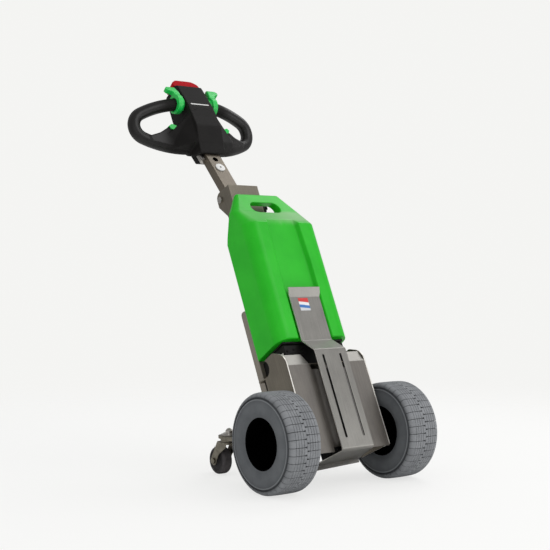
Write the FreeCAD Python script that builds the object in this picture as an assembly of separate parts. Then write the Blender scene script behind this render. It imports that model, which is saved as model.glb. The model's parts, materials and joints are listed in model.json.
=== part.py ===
"""Electric tow tractor: a walk-behind tug with two driven tyres, two castors and a lift-out battery.

Frame while modelling: +X points to the tow plate, +Y to the left, +Z up, and the origin lies on the
floor under the wheel axle. Every piece is moved along X at the end, so that the finished part has
its origin under the middle of its bounding box. Lengths are millimetres and angles are degrees.

The chassis, column and battery lean back together. They are drawn upright in a column frame, where
x is the distance in front of a plane through the floor origin and z runs up the column, and then
tilted. The tiller has a frame of its own: z runs along its tube from the fold pivot.
"""
import FreeCAD, Part
import math
import os

V = FreeCAD.Vector

# ---- overall stance ----
COLUMN_LEAN = 25.0
TILLER_LEAN = 43.7
SHEET = 3.0
RUNNING_GAP = 0.08          # radial play of a shaft or bolt in its bore
REST_GAP = 0.3              # between a moving piece and what it rests on

# ---- driven wheels ----
WHEEL_RADIUS = 120.0
TYRE_WIDTH = 94.0
TYRE_GAP = 14.0             # between a side plate and its tyre
RIM_RADIUS = 63.0
RIM_WIDTH = 84.0
RIM_WALL = 3.0
DISC_OFFSET = 25.0
HUB_RADIUS = 30.0
STUB_RADIUS = 12.5

# ---- chassis, column frame ----
SIDE_INNER = 121.0
FRAME_BACK = -35.0
FRAME_FOOT = 63.0
SIDE_TOP_FRONT = 309.0      # where the level top edge would meet the front edge
SIDE_TOP_MIDDLE = 330.0
SIDE_TOP_BACK = 322.0
SIDE_PEAK_AHEAD = 48.0
FRAME_CORNER = 38.0
SIDE_BACK_HIGH = -4.0       # back edge of a side plate above its shoulder
SIDE_SHOULDER = 215.0
NOTCH_RADIUS = 21.0
NOTCH_AT = (2.0, 305.0)
HOOD_FOOT = 60.0
HOOD_BEND = 282.0
HOOD_TOP = 312.0
HOOD_TOP_BACK = 14.0        # how far the top band of the hood leans back
SHELF_TOP = 286.0
PANEL_FOOT = 88.0

# ---- tow plate, column frame ----
PLATE_STANDOFF = 25.0       # tow face in front of the hood
PLATE_HALF = 49.0
PLATE_TOP = 309.0
PAN_FACE = 54.0
PAN_BEND = 10.0
PAN_BACK_RIGHT = -20.0
PAN_BACK_LEFT = 18.0
PAN_LEFT_HALF = 79.0
PAN_LIP = 10.0
STRAP_HALF = 47.5
STRAP_TOP = 488.0
LIP_HEIGHT = 24.0
LIP_FLARE = 9.0
LIP_HALF = 50.0
SLOT_OFFSET = 27.0
SLOT_WIDTH = 6.0
SLOT_FOOT = 85.0
SLOT_TOP = 296.0
SPACER_RADIUS = 7.0
SPACER_HEIGHTS = (120.0, 250.0)

# ---- rear tray and column channel, column frame ----
TRAY_HALF = 104.0
TRAY_DEPTH = 22.0
TRAY_FOOT = 95.0
TRAY_TOP = 470.0
EAR_RADIUS = 9.0
CHANNEL_HALF = 48.0
CHANNEL_FOOT = 330.0
CHANNEL_DEPTH = 36.0
PIVOT_UP = 822.0
PIVOT_BACK = 86.0
LUG_ABOVE = 22.0
LUG_RADIUS = 16.0
BOLT_RADIUS = 5.0

# ---- battery pack, column frame ----
PACK_HALF = 112.0
PACK_FACE = 80.0
PACK_STANDOFF = 3.0         # between the tray and the back of the battery
PACK_FOOT_BACK = 338.0
PACK_FOOT_FRONT = 355.0
PACK_CORNER = 34.0
PACK_BACK_TOP = 658.0       # where the upright back face ends
PACK_FACE_TOP = 674.0       # where the upright front face ends
PACK_KNEE = 729.0           # crease between the wedge and the bevel below it
PACK_KNEE_BACK = 3.0
PACK_KNEE_FACE = 34.0
PACK_KNEE_HALF = 108.0
PACK_KNEE_CORNER = 18.0
PACK_TOP = 791.0
PACK_TOP_BACK = -6.0
PACK_TOP_FACE = 10.0
PACK_TOP_HALF = 69.0
PACK_TOP_CORNER = 7.0
PACK_BACK_CORNER = 8.0
PACK_RIM = 3.0              # chamfer round the very top
STRAP_CLEARANCE = 7.0       # between the strap and each side of the channel in the battery
RECESS_NARROWING = 5.0      # by which the channel narrows towards its top
RECESS_DEPTH = 12.0
RECESS_TAPER = 6.0
RECESS_STRAIGHT = 80.0      # length of channel above the strap before it narrows
HAND_HOLE_UP = 742.0
HAND_HOLE_LENGTH = 92.0
HAND_HOLE_HEIGHT = 38.0
CRADLE_SETBACK = 18.0       # front of the cradle behind the face of the battery
BASE_THICK = 5.0
BASE_INSET = 16.0

# ---- drive, column frame ----
CASE_RADIUS = 37.0
CASE_HALF = 40.0
CASE_GAP = 5.29             # between the gear case and the hood
MOTOR_RADIUS = 44.0
MOTOR_AHEAD = 38.0
MOTOR_LENGTH = 110.0
AXLE_TUBE_RADIUS = 22.0
AXLE_FLANGE_RADIUS = 38.0
AXLE_NOSE = 22.0            # reach of the axle tube beyond its side plate

# ---- castors, upright frame ----
CASTOR_RADIUS = 35.0
CASTOR_WIDTH = 28.0
CASTOR_HALF_TRACK = 135.0
KINGPIN_BACK = 261.0
CASTOR_TRAIL = 38.0
CASTOR_PLATE = 8.0
CROWN_CLEARANCE = 12.0      # between the castor wheel and the fork crown
BEARING_HEIGHT = 8.0
CROWN_THICK = 5.0
CROWN_HALF = 24.0
LEG_THICK = 3.0
KINGPIN_RADIUS = 6.0
CASTOR_AXLE_RADIUS = 4.0

# ---- tiller, tiller frame ----
TUBE_WIDTH = 50.0
TUBE_DEPTH = 25.0
TUBE_WALL = 2.0
TUBE_FOOT = -16.0
TUBE_END = 235.0
BUSH_RADIUS = 11.0
TUBE_HOLE_UP = 153.0
TUBE_HOLE_RADIUS = 8.5
TUBE_CAP_UP = 119.0
TUBE_CAP_RADIUS = 14.0
CONSOLE_HALF = 42.0
CONSOLE_FOOT = 170.0
CONSOLE_TOP = 412.0
CONSOLE_RISE = 12.0         # rise of the console top towards its back
CONSOLE_TOP_BACK = 2.0
CONSOLE_BEVEL = 9.0
CONSOLE_FACE = 67.0
RING_UP = 287.5
RING_AHEAD = 12.5
RING_LEAN = 15.0
RING_SWEEP = 10.0           # each grip loop sweeps back from the middle
RING_HALF_HEIGHT = 66.0
RING_HALF_WIDTH = 191.0
RING_END_RADIUS = 39.5
RING_ROOT = 40.0
GRIP_RADIUS = 17.8
WEB_TOP = 8.0               # top of the grip's brace at the console, above the middle of the ring
LEVER_HUB_RADIUS = 28.0
LEVER_HUB_WIDTH = 24.0       # outer face of the hub, from the console
LEVER_BOSS_RADIUS = 21.0
LEVER_GAP = 8.0              # between the console and the wide part of the hub
LEVER_REACH = 46.0
LEVER_HEIGHT = 53.0
LEVER_SPLAY = 6.0           # outward slant of the inner edge of the wing
CAP_HALF = 44.0
CAP_SAG = 28.0
CAP_ARCH_RADIUS = 50.0
CAP_SETBACK = 14.0          # from the back of the console top to the button
CAP_HEIGHT = 44.0

SIDES = {"left": 1, "right": -1}
TRACK_HALF = SIDE_INNER + SHEET + TYRE_GAP + TYRE_WIDTH / 2
AXLE_NOSE_END = SIDE_INNER + SHEET + AXLE_NOSE
CHANNEL_TOP = PIVOT_UP + LUG_ABOVE
PACK_BACK = FRAME_BACK + PACK_STANDOFF
STRAP_FACE = PACK_FACE
CROWN_TOP = 2 * CASTOR_RADIUS + CROWN_CLEARANCE + CROWN_THICK
CASTOR_PLATE_UNDER = CROWN_TOP + BEARING_HEIGHT
AXLE_AHEAD = WHEEL_RADIUS * math.sin(math.radians(COLUMN_LEAN))
AXLE_UP = WHEEL_RADIUS * math.cos(math.radians(COLUMN_LEAN))
FRAME_FRONT = AXLE_AHEAD + CASE_RADIUS + CASE_GAP
PLATE_FACE = FRAME_FRONT + PLATE_STANDOFF


# ---- drawing helpers ----
def box(x0, x1, y0, y1, z0, z1):
    """A block between two corners, in any order."""
    low = V(min(x0, x1), min(y0, y1), min(z0, z1))
    return Part.makeBox(abs(x1 - x0), abs(y1 - y0), abs(z1 - z0), low)


def rod(radius, start, end):
    """A round bar between two points."""
    return Part.makeCylinder(radius, (end - start).Length, start, end - start)


def rounded_wire(corners, place):
    """A closed outline from (a, b, radius) corners, drawn in the plane that place(a, b) gives."""
    flat = [V(a, b, 0) for a, b, radius in corners]
    edges = []
    ends = []
    count = len(corners)
    for i in range(count):
        here = flat[i]
        before = (flat[i - 1] - here).normalize()
        after = (flat[(i + 1) % count] - here).normalize()
        radius = corners[i][2]
        if radius <= 0:
            ends.append((here, None, here))
            continue
        half = before.getAngle(after) / 2
        reach = radius / math.tan(half)
        middle = (before + after).normalize() * (radius / math.sin(half) - radius)
        ends.append((here + before * reach, here + middle, here + after * reach))
    for i in range(count):
        first, through, last = ends[i]
        if through is not None:
            arc = Part.Arc(place(first.x, first.y), place(through.x, through.y), place(last.x, last.y))
            edges.append(arc.toShape())
        following = ends[(i + 1) % count][0]
        if (following - last).Length > 1e-6:
            edges.append(Part.makeLine(place(last.x, last.y), place(following.x, following.y)))
    return Part.Wire(edges)


def side_prism(corners, y0, y1):
    """An (x, z, radius) outline seen from the side, extruded across from y0 to y1."""
    wire = rounded_wire(corners, lambda a, b: V(a, y0, b))
    return Part.Face(wire).extrude(V(0, y1 - y0, 0))


def front_prism(corners, x0, x1):
    """A (y, z, radius) outline seen from the front, extruded from x0 to x1."""
    wire = rounded_wire(corners, lambda a, b: V(x0, a, b))
    return Part.Face(wire).extrude(V(x1 - x0, 0, 0))


def plan_prism(corners, z0, z1):
    """An (x, y, radius) outline seen from above, extruded from z0 to z1."""
    wire = rounded_wire(corners, lambda a, b: V(a, b, z0))
    return Part.Face(wire).extrude(V(0, 0, z1 - z0))


def mirrored(half):
    """Both halves of an outline from the corners of its +y half, given from foot to top."""
    return half + [(-a, b, radius) for a, b, radius in reversed(half)]


def folded_sheet(path, thick, bend, y0, y1):
    """Sheet folded along an (x, z) centre line, with one inner bend radius."""
    points = [V(a, b, 0) for a, b in path]
    left, right = [], []
    for i, here in enumerate(points):
        before = points[max(i, 1)] - points[max(i, 1) - 1]
        after = points[min(i + 1, len(points) - 1)] - points[min(i, len(points) - 2)]
        before.normalize()
        after.normalize()
        mitre = V(-before.y - after.y, before.x + after.x, 0).normalize()
        reach = thick / 2 / (mitre * V(-before.y, before.x, 0))
        turn = before.cross(after).z
        inner, outer = (bend, bend + thick) if abs(turn) > 1e-6 else (0, 0)
        left.append((*(here + mitre * reach)[:2], inner if turn > 0 else outer))
        right.append((*(here - mitre * reach)[:2], outer if turn > 0 else inner))
    return side_prism(left + right[::-1], y0, y1)


def turned(corners, centre_y):
    """A solid turned about the wheel axis from an outline of (y, radius, corner radius)."""
    wire = rounded_wire(corners, lambda a, b: V(0, centre_y + a, b))
    return Part.Face(wire).revolve(V(0, centre_y, 0), V(0, 1, 0), 360)


def at_side(shape, side):
    """The left piece as drawn, or its mirror image for the right."""
    return shape if side > 0 else shape.mirror(V(0, 0, 0), V(0, 1, 0))


def leaned(shape, lean, at=V(0, 0, 0)):
    """A shape drawn upright, tilted back and then carried to its place."""
    placed = shape.copy()
    placed.rotate(V(0, 0, 0), V(0, 1, 0), -lean)
    placed.translate(at)
    return placed


def column_point(ahead, across, up):
    """Where a point of the column frame lies in the upright frame."""
    return FreeCAD.Rotation(V(0, 1, 0), -COLUMN_LEAN).multVec(V(ahead, across, up))


# ---- chassis, drawn in the column frame ----
def side_plate(side):
    """Laser-cut side with a large front corner, a hand notch and the axle bore."""
    outline = [
        (FRAME_BACK, PANEL_FOOT, 5),
        (FRAME_BACK + 14, FRAME_FOOT, 5),
        (FRAME_FRONT, FRAME_FOOT, 3),
        (FRAME_FRONT, SIDE_TOP_FRONT, FRAME_CORNER),
        (SIDE_PEAK_AHEAD, SIDE_TOP_MIDDLE, 12),
        (SIDE_BACK_HIGH, SIDE_TOP_BACK, 0),
        (SIDE_BACK_HIGH, SIDE_SHOULDER + 30, 12),
        (FRAME_BACK, SIDE_SHOULDER, 5),
    ]
    plate = side_prism(outline, SIDE_INNER, SIDE_INNER + SHEET)
    notch = rod(NOTCH_RADIUS, V(NOTCH_AT[0], SIDE_INNER - 1, NOTCH_AT[1]),
                V(NOTCH_AT[0], SIDE_INNER + SHEET + 1, NOTCH_AT[1]))
    bore = rod(AXLE_TUBE_RADIUS + RUNNING_GAP, V(AXLE_AHEAD, SIDE_INNER - 1, AXLE_UP),
               V(AXLE_AHEAD, SIDE_INNER + SHEET + 1, AXLE_UP))
    return at_side(plate.cut(notch).cut(bore), side)


def motor_hood():
    """Folded front cover between the side plates, open below, with its top band cut at the strap."""
    face = FRAME_FRONT - SHEET / 2
    path = [(face, HOOD_FOOT), (face, HOOD_BEND), (face - HOOD_TOP_BACK, HOOD_TOP)]
    hood = folded_sheet(path, SHEET, 4, -SIDE_INNER, SIDE_INNER)
    strap_gap = mirrored([(PLATE_HALF + 5, HOOD_BEND - 14, 4), (PLATE_HALF + 16, HOOD_TOP + 8, 0)])
    foot_gap = mirrored([(PLATE_HALF + 4, HOOD_FOOT - 9, 0), (PLATE_HALF + 4, HOOD_FOOT + 12, 2)])
    for gap in (strap_gap, foot_gap):
        hood = hood.cut(front_prism(gap, 0, FRAME_FRONT + 20))
    return hood


def tow_plate():
    """One long folded sheet: belly pan, slotted tow face, step back, strap and flared lip."""
    face = PLATE_FACE - SHEET / 2
    strap = STRAP_FACE - SHEET / 2
    pan = PAN_FACE + SHEET / 2
    step = face - strap
    path = [(PAN_BACK_RIGHT - 40, pan), (face, pan), (face, PLATE_TOP), (strap, PLATE_TOP + step),
            (strap, STRAP_TOP - LIP_HEIGHT), (strap + LIP_FLARE, STRAP_TOP)]
    reach = PAN_LEFT_HALF + 1
    sheet = folded_sheet(path, SHEET, PAN_BEND - SHEET, -reach, reach)
    pan_top = PAN_FACE + PAN_BEND + 1
    upright = mirrored([(PLATE_HALF, pan_top, 0), (PLATE_HALF, PLATE_TOP, 6),
                        (STRAP_HALF, PLATE_TOP + step, 6), (STRAP_HALF, STRAP_TOP - LIP_HEIGHT, 4),
                        (LIP_HALF, STRAP_TOP - LIP_HEIGHT + 8, 4), (LIP_HALF, STRAP_TOP + 5, 0)])
    upright = front_prism(upright, STRAP_FACE - 20, PLATE_FACE + 5)
    below = plan_prism([(PLATE_FACE + 5, -PLATE_HALF, 0), (PLATE_FACE + 5, PLATE_HALF, 0),
                        (PLATE_FACE - PAN_BEND, PLATE_HALF, 0), (PAN_BACK_LEFT, PAN_LEFT_HALF, 3),
                        (PAN_BACK_RIGHT, -PLATE_HALF, 3)], PAN_FACE - 5, pan_top)
    plate = sheet.common(upright).fuse(sheet.common(below))
    back_edge = V(PAN_BACK_LEFT - PAN_BACK_RIGHT, PAN_LEFT_HALF + PLATE_HALF, 0)
    lip = Part.makeBox(back_edge.Length - 6, SHEET, PAN_LIP + SHEET)
    lip.translate(V(3, -SHEET, 0))
    lip.rotate(V(0, 0, 0), V(0, 0, 1), math.degrees(math.atan2(back_edge.y, back_edge.x)))
    lip.translate(V(PAN_BACK_RIGHT, -PLATE_HALF, PAN_FACE - PAN_LIP))
    plate = plate.fuse(lip).removeSplitter()
    for side in SIDES.values():
        edge = SLOT_WIDTH / 2
        at = side * SLOT_OFFSET
        slot = [(at - edge, SLOT_FOOT, edge * 0.99), (at + edge, SLOT_FOOT, edge * 0.99),
                (at + edge, SLOT_TOP, edge * 0.99), (at - edge, SLOT_TOP, edge * 0.99)]
        plate = plate.cut(front_prism(slot, PLATE_FACE - 10, PLATE_FACE + 5))
    return plate


def plate_spacers():
    """Round posts that hold the tow plate off the hood, on the line between its slots."""
    posts = [rod(SPACER_RADIUS, V(FRAME_FRONT, 0, up), V(PLATE_FACE - SHEET, 0, up))
             for up in SPACER_HEIGHTS]
    return Part.makeCompound(posts)


def rear_panel():
    """Cross wall that joins the side plates in front of the tray."""
    top = SIDE_SHOULDER - 6
    return box(FRAME_BACK, FRAME_BACK + SHEET, -SIDE_INNER, SIDE_INNER, PANEL_FOOT + 6, top)


def rear_tray():
    """Wide channel behind the battery, its flanges folded back and rounded into ears on top."""
    back = FRAME_BACK - SHEET
    web = box(back, FRAME_BACK, -TRAY_HALF, TRAY_HALF, TRAY_FOOT, TRAY_TOP)
    tray = web
    for side in SIDES.values():
        outline = [(FRAME_BACK, TRAY_FOOT, 0), (FRAME_BACK, TRAY_TOP, 0),
                   (FRAME_BACK - 5, TRAY_TOP + EAR_RADIUS, 4),
                   (FRAME_BACK - TRAY_DEPTH, TRAY_TOP + EAR_RADIUS, EAR_RADIUS),
                   (FRAME_BACK - TRAY_DEPTH, TRAY_FOOT + 12, 0), (back, TRAY_FOOT, 0)]
        flange = side_prism(outline, TRAY_HALF - SHEET, TRAY_HALF)
        tray = tray.fuse(at_side(flange, side))
    return tray.removeSplitter()


def column_channel():
    """Narrow channel up the back, ending in two rounded lugs for the tiller bolt."""
    front = FRAME_BACK - SHEET
    back = front - CHANNEL_DEPTH
    web = box(front - SHEET, front, -CHANNEL_HALF, CHANNEL_HALF, CHANNEL_FOOT, CHANNEL_TOP)
    channel = web
    for side in SIDES.values():
        outline = [(front, CHANNEL_FOOT, 0), (front, CHANNEL_TOP, 0),
                   (-PIVOT_BACK - LUG_RADIUS, CHANNEL_TOP, LUG_RADIUS + 2),
                   (-PIVOT_BACK - LUG_RADIUS, PIVOT_UP - LUG_RADIUS, LUG_RADIUS / 2),
                   (back, PIVOT_UP - 55, 12), (back, CHANNEL_FOOT + 25, 12),
                   (front - SHEET, CHANNEL_FOOT, 0)]
        flange = side_prism(outline, CHANNEL_HALF - SHEET, CHANNEL_HALF)
        hole = rod(BOLT_RADIUS, V(-PIVOT_BACK, 0, PIVOT_UP), V(-PIVOT_BACK, CHANNEL_HALF + 5, PIVOT_UP))
        channel = channel.fuse(at_side(flange.cut(hole), side))
    return channel.removeSplitter()


def pivot_bolt():
    """Through bolt that carries the tiller, with a flat head at each lug."""
    bolt = rod(BOLT_RADIUS, V(-PIVOT_BACK, -CHANNEL_HALF, PIVOT_UP), V(-PIVOT_BACK, CHANNEL_HALF, PIVOT_UP))
    for side in SIDES.values():
        start = V(-PIVOT_BACK, side * CHANNEL_HALF, PIVOT_UP)
        bolt = bolt.fuse(rod(BOLT_RADIUS + 4, start, start + V(0, side * 5, 0)))
    return bolt.removeSplitter()


def pack_foot_line(ahead):
    """Height of the battery's sloping underside at a distance ahead."""
    slope = (PACK_FOOT_FRONT - PACK_FOOT_BACK) / (PACK_FACE - PACK_BACK)
    return PACK_FOOT_BACK + (ahead - PACK_BACK) * slope


def seat_shelf():
    """Flat shelf that closes the motor bay and carries the battery cradle."""
    front = FRAME_FRONT - SHEET - 4
    return box(FRAME_BACK, front, -SIDE_INNER, SIDE_INNER, SHELF_TOP - SHEET, SHELF_TOP)


def pack_cradle():
    """Black control housing under the battery, its top cut to the battery's slope."""
    back, front = FRAME_BACK, PACK_FACE - CRADLE_SETBACK
    gap = BASE_THICK + REST_GAP
    outline = [(back, SHELF_TOP, 0), (front, SHELF_TOP, 0),
               (front, pack_foot_line(front) - gap, 5), (back, pack_foot_line(back) - gap, 0)]
    return side_prism(outline, -PACK_HALF + 18, PACK_HALF - 18)


# ---- drive, drawn in the column frame ----
def gear_case():
    """Differential case on the belly pan, with the neck that takes the motor."""
    case = rod(CASE_RADIUS, V(AXLE_AHEAD, -CASE_HALF, AXLE_UP), V(AXLE_AHEAD, CASE_HALF, AXLE_UP))
    pan_top = PAN_FACE + SHEET
    foot = box(AXLE_AHEAD - 34, AXLE_AHEAD + 34, -CASE_HALF + 4, CASE_HALF - 4, pan_top, AXLE_UP)
    top = AXLE_UP + CASE_RADIUS + 4
    neck = rod(MOTOR_RADIUS - 10, V(MOTOR_AHEAD, 0, AXLE_UP), V(MOTOR_AHEAD, 0, top))
    case = case.fuse([foot, neck])
    for side in SIDES.values():
        shaft = rod(STUB_RADIUS + RUNNING_GAP, V(AXLE_AHEAD, side * (CASE_HALF - 12), AXLE_UP),
                    V(AXLE_AHEAD, side * (CASE_HALF + 1), AXLE_UP))
        case = case.cut(shaft)
    return case.removeSplitter()


def drive_motor():
    """Closed motor as one heavy block."""
    foot = AXLE_UP + CASE_RADIUS + 4
    return rod(MOTOR_RADIUS, V(MOTOR_AHEAD, 0, foot), V(MOTOR_AHEAD, 0, foot + MOTOR_LENGTH))


def axle_tube(side):
    """Axle tube from the gear case, flanged inside its side plate and nosed through it."""
    axis = V(AXLE_AHEAD, 0, AXLE_UP)
    tube = rod(AXLE_TUBE_RADIUS, axis + V(0, CASE_HALF, 0), axis + V(0, AXLE_NOSE_END, 0))
    flange = rod(AXLE_FLANGE_RADIUS, axis + V(0, SIDE_INNER - 6, 0), axis + V(0, SIDE_INNER, 0))
    bore = rod(STUB_RADIUS + RUNNING_GAP, axis, axis + V(0, AXLE_NOSE_END + 1, 0))
    return at_side(tube.fuse(flange).removeSplitter().cut(bore), side)


# ---- battery, drawn in the column frame ----
def pack_outline(up, back, front, half, front_corner, back_corner):
    """Level outline of the battery with rounded corners."""
    corners = [(back, -half, back_corner), (front, -half, front_corner),
               (front, half, front_corner), (back, half, back_corner)]
    return rounded_wire(corners, lambda a, b: V(a, b, up))


def battery_pack():
    """Moulded case: rounded body, bevelled shoulder, wedge with a hand hole, channel down its face."""
    low, high = PACK_FOOT_BACK - 10, PACK_TOP + 10
    rise = (PACK_FACE_TOP - PACK_BACK_TOP) / (PACK_KNEE - PACK_BACK_TOP)
    shoulder_back = PACK_BACK + (PACK_KNEE_BACK - PACK_BACK) * rise
    levels = [
        (low, PACK_BACK, PACK_FACE, PACK_HALF, PACK_CORNER, PACK_BACK_CORNER),
        (PACK_BACK_TOP, PACK_BACK, PACK_FACE, PACK_HALF, PACK_CORNER, PACK_BACK_CORNER),
        (PACK_FACE_TOP, shoulder_back, PACK_FACE, PACK_HALF, PACK_CORNER, PACK_BACK_CORNER),
        (PACK_KNEE, PACK_KNEE_BACK, PACK_KNEE_FACE, PACK_KNEE_HALF, PACK_KNEE_CORNER, PACK_BACK_CORNER),
        (PACK_TOP - PACK_RIM, PACK_TOP_BACK, PACK_TOP_FACE, PACK_TOP_HALF, PACK_TOP_CORNER,
         PACK_TOP_CORNER),
        (PACK_TOP, PACK_TOP_BACK + PACK_RIM, PACK_TOP_FACE - PACK_RIM, PACK_TOP_HALF - PACK_RIM,
         PACK_TOP_CORNER - PACK_RIM, PACK_TOP_CORNER - PACK_RIM),
    ]
    outlines = [pack_outline(*level) for level in levels]
    blocks = [Part.makeLoft([below, above], True, True) for below, above in zip(outlines, outlines[1:])]
    foot = side_prism([(PACK_BACK, PACK_FOOT_BACK, 0), (PACK_FACE, PACK_FOOT_FRONT, 5),
                       (PACK_FACE, high, 0), (PACK_BACK, high, 0)], -PACK_HALF - 5, PACK_HALF + 5)
    pack = blocks[0].fuse(blocks[1:]).removeSplitter().common(foot)
    floor = PACK_FACE - RECESS_DEPTH
    wide = STRAP_HALF + STRAP_CLEARANCE
    narrow = wide - RECESS_NARROWING
    flare = RECESS_TAPER * 2 / RECESS_DEPTH
    sections = []
    for up, half in ((low - 5, wide), (STRAP_TOP + RECESS_STRAIGHT, wide), (PACK_FACE_TOP, narrow),
                     (PACK_TOP, narrow)):
        corners = [V(PACK_FACE + 2, half + flare, up), V(PACK_FACE + 2, -half - flare, up),
                   V(floor, -half + RECESS_TAPER, up), V(floor, half - RECESS_TAPER, up)]
        sections.append(Part.makePolygon(corners + corners[:1]))
    for foot, top in zip(sections, sections[1:]):
        pack = pack.cut(Part.makeLoft([foot, top], True, True))
    edge = HAND_HOLE_HEIGHT / 2
    half = HAND_HOLE_LENGTH / 2
    hole = [(-half, HAND_HOLE_UP - edge, edge * 0.98), (half, HAND_HOLE_UP - edge, edge * 0.98),
            (half, HAND_HOLE_UP + edge, edge * 0.98), (-half, HAND_HOLE_UP + edge, edge * 0.98)]
    return pack.cut(front_prism(hole, PACK_BACK - 5, PACK_FACE + 5))


def pack_base():
    """Black base that closes the underside of the battery."""
    back, front = PACK_BACK + BASE_INSET, PACK_FACE - BASE_INSET
    outline = [(back, pack_foot_line(back), 0), (front, pack_foot_line(front), 0),
               (front, pack_foot_line(front) - BASE_THICK, 3), (back, pack_foot_line(back) - BASE_THICK, 3)]
    half = PACK_HALF - BASE_INSET
    base = side_prism(outline, -half, half)
    gap_half = STRAP_HALF + STRAP_CLEARANCE + 6
    gap = box(PACK_FACE - RECESS_DEPTH - 6, PACK_FACE, -gap_half, gap_half,
              PACK_FOOT_BACK - 30, PACK_FOOT_FRONT + 10)
    return base.cut(gap)


# ---- driven wheels, upright frame, drawn about an axis on the floor line ----
def tyre(side):
    """Wide tyre with rounded shoulders and flat sidewalls."""
    half = TYRE_WIDTH / 2
    seat = RIM_WIDTH / 2 - RIM_WALL
    outline = [(-seat, RIM_RADIUS - RIM_WALL, 0), (seat, RIM_RADIUS - RIM_WALL, 0),
               (seat, RIM_RADIUS + 2, 2), (half, RIM_RADIUS + 12, 14),
               (half - 2, WHEEL_RADIUS, 11), (-half + 2, WHEEL_RADIUS, 11),
               (-half, RIM_RADIUS + 12, 14), (-seat, RIM_RADIUS + 2, 2)]
    return turned(outline, side * TRACK_HALF).translated(V(0, 0, WHEEL_RADIUS))


def rim(side):
    """Pressed rim: barrel, two flanges and a disc set towards the inside of the wheel."""
    half = RIM_WIDTH / 2
    barrel = RIM_RADIUS - RIM_WALL
    bore = barrel - RIM_WALL
    disc = -DISC_OFFSET
    outline = [(-half, bore, 0), (disc - 3, bore, 2), (disc - 2, HUB_RADIUS, 0), (disc + 2, HUB_RADIUS, 0),
               (disc + 3, bore, 2), (half, bore, 0), (half, RIM_RADIUS, 1),
               (half - RIM_WALL, RIM_RADIUS, 1), (half - RIM_WALL, barrel, 0),
               (-half + RIM_WALL, barrel, 0), (-half + RIM_WALL, RIM_RADIUS, 1), (-half, RIM_RADIUS, 1)]
    wheel = turned(outline, TRACK_HALF).translated(V(0, 0, WHEEL_RADIUS))
    return at_side(wheel, side)


def hub(side):
    """Hub in the rim disc, with the stub shaft that runs in the axle tube."""
    disc = TRACK_HALF - DISC_OFFSET
    axis = V(0, 0, WHEEL_RADIUS)
    body = rod(HUB_RADIUS, axis + V(0, AXLE_NOSE_END + 2, 0), axis + V(0, disc + 6, 0))
    shaft = rod(STUB_RADIUS, axis + V(0, CASE_HALF - 10, 0), axis + V(0, AXLE_NOSE_END + 2, 0))
    nut = Part.makeCylinder(14, 10, axis + V(0, disc + 6, 0), V(0, 1, 0))
    return at_side(body.fuse([shaft, nut]).removeSplitter(), side)


# ---- castors, upright frame ----
def castor_frame():
    """Thick plate welded behind the tray, with an arm out to each kingpin."""
    tip = CASTOR_HALF_TRACK + 26
    back = -KINGPIN_BACK - 26
    neck = -KINGPIN_BACK + 60
    inner = CASTOR_HALF_TRACK - 30
    outline = mirrored([(tip, back, 22), (tip, neck, 30), (TRAY_HALF, neck + 55, 10), (TRAY_HALF, -40, 0)])
    bay = mirrored([(inner, back - 1, 0), (inner, neck + 20, 30)])
    top = CASTOR_PLATE_UNDER + CASTOR_PLATE
    shape = plan_prism([(x, y, r) for y, x, r in outline], CASTOR_PLATE_UNDER, top)
    shape = shape.cut(plan_prism([(x, y, r) for y, x, r in bay], CASTOR_PLATE_UNDER - 1, top + 1))
    behind = leaned(box(-400, FRAME_BACK - SHEET, -300, 300, -100, 500), COLUMN_LEAN)
    shape = shape.common(behind)
    shape = shape.cut(leaned(rear_tray(), COLUMN_LEAN))
    for side in SIDES.values():
        pin = V(-KINGPIN_BACK, side * CASTOR_HALF_TRACK, 0)
        shape = shape.cut(rod(KINGPIN_RADIUS, pin, pin + V(0, 0, top + 5)))
    return shape


def castor_gussets():
    """Upright ribs between the tray and the castor plate."""
    top = CASTOR_PLATE_UNDER + CASTOR_PLATE
    ribs = []
    for side in SIDES.values():
        rib = side_prism([(-150, top, 0), (-20, top, 0), (-20, top + 90, 0), (-118, top + 90, 0)], 76, 81)
        rib = rib.common(leaned(box(-400, FRAME_BACK - SHEET, -300, 300, -100, 500), COLUMN_LEAN))
        ribs.append(at_side(rib, side))
    return Part.makeCompound(ribs)


def castor_bolt(side):
    """Kingpin: domed head and two washers over the plate, shank down through the fork crown."""
    pin = V(-KINGPIN_BACK, CASTOR_HALF_TRACK, 0)
    top = CASTOR_PLATE_UNDER + CASTOR_PLATE
    shank = rod(KINGPIN_RADIUS, pin + V(0, 0, CROWN_TOP - CROWN_THICK - 1), pin + V(0, 0, top))
    plate = rod(21, pin + V(0, 0, top), pin + V(0, 0, top + 3))
    washer = rod(15, pin + V(0, 0, top + 3), pin + V(0, 0, top + 6))
    head = rod(9.5, pin + V(0, 0, top + 6), pin + V(0, 0, top + 12))
    dome = Part.makeSphere(9, pin + V(0, 0, top + 9), V(0, 0, 1), 0, 90, 360)
    return at_side(shank.fuse([plate, washer, head, dome]).removeSplitter(), side)


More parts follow.
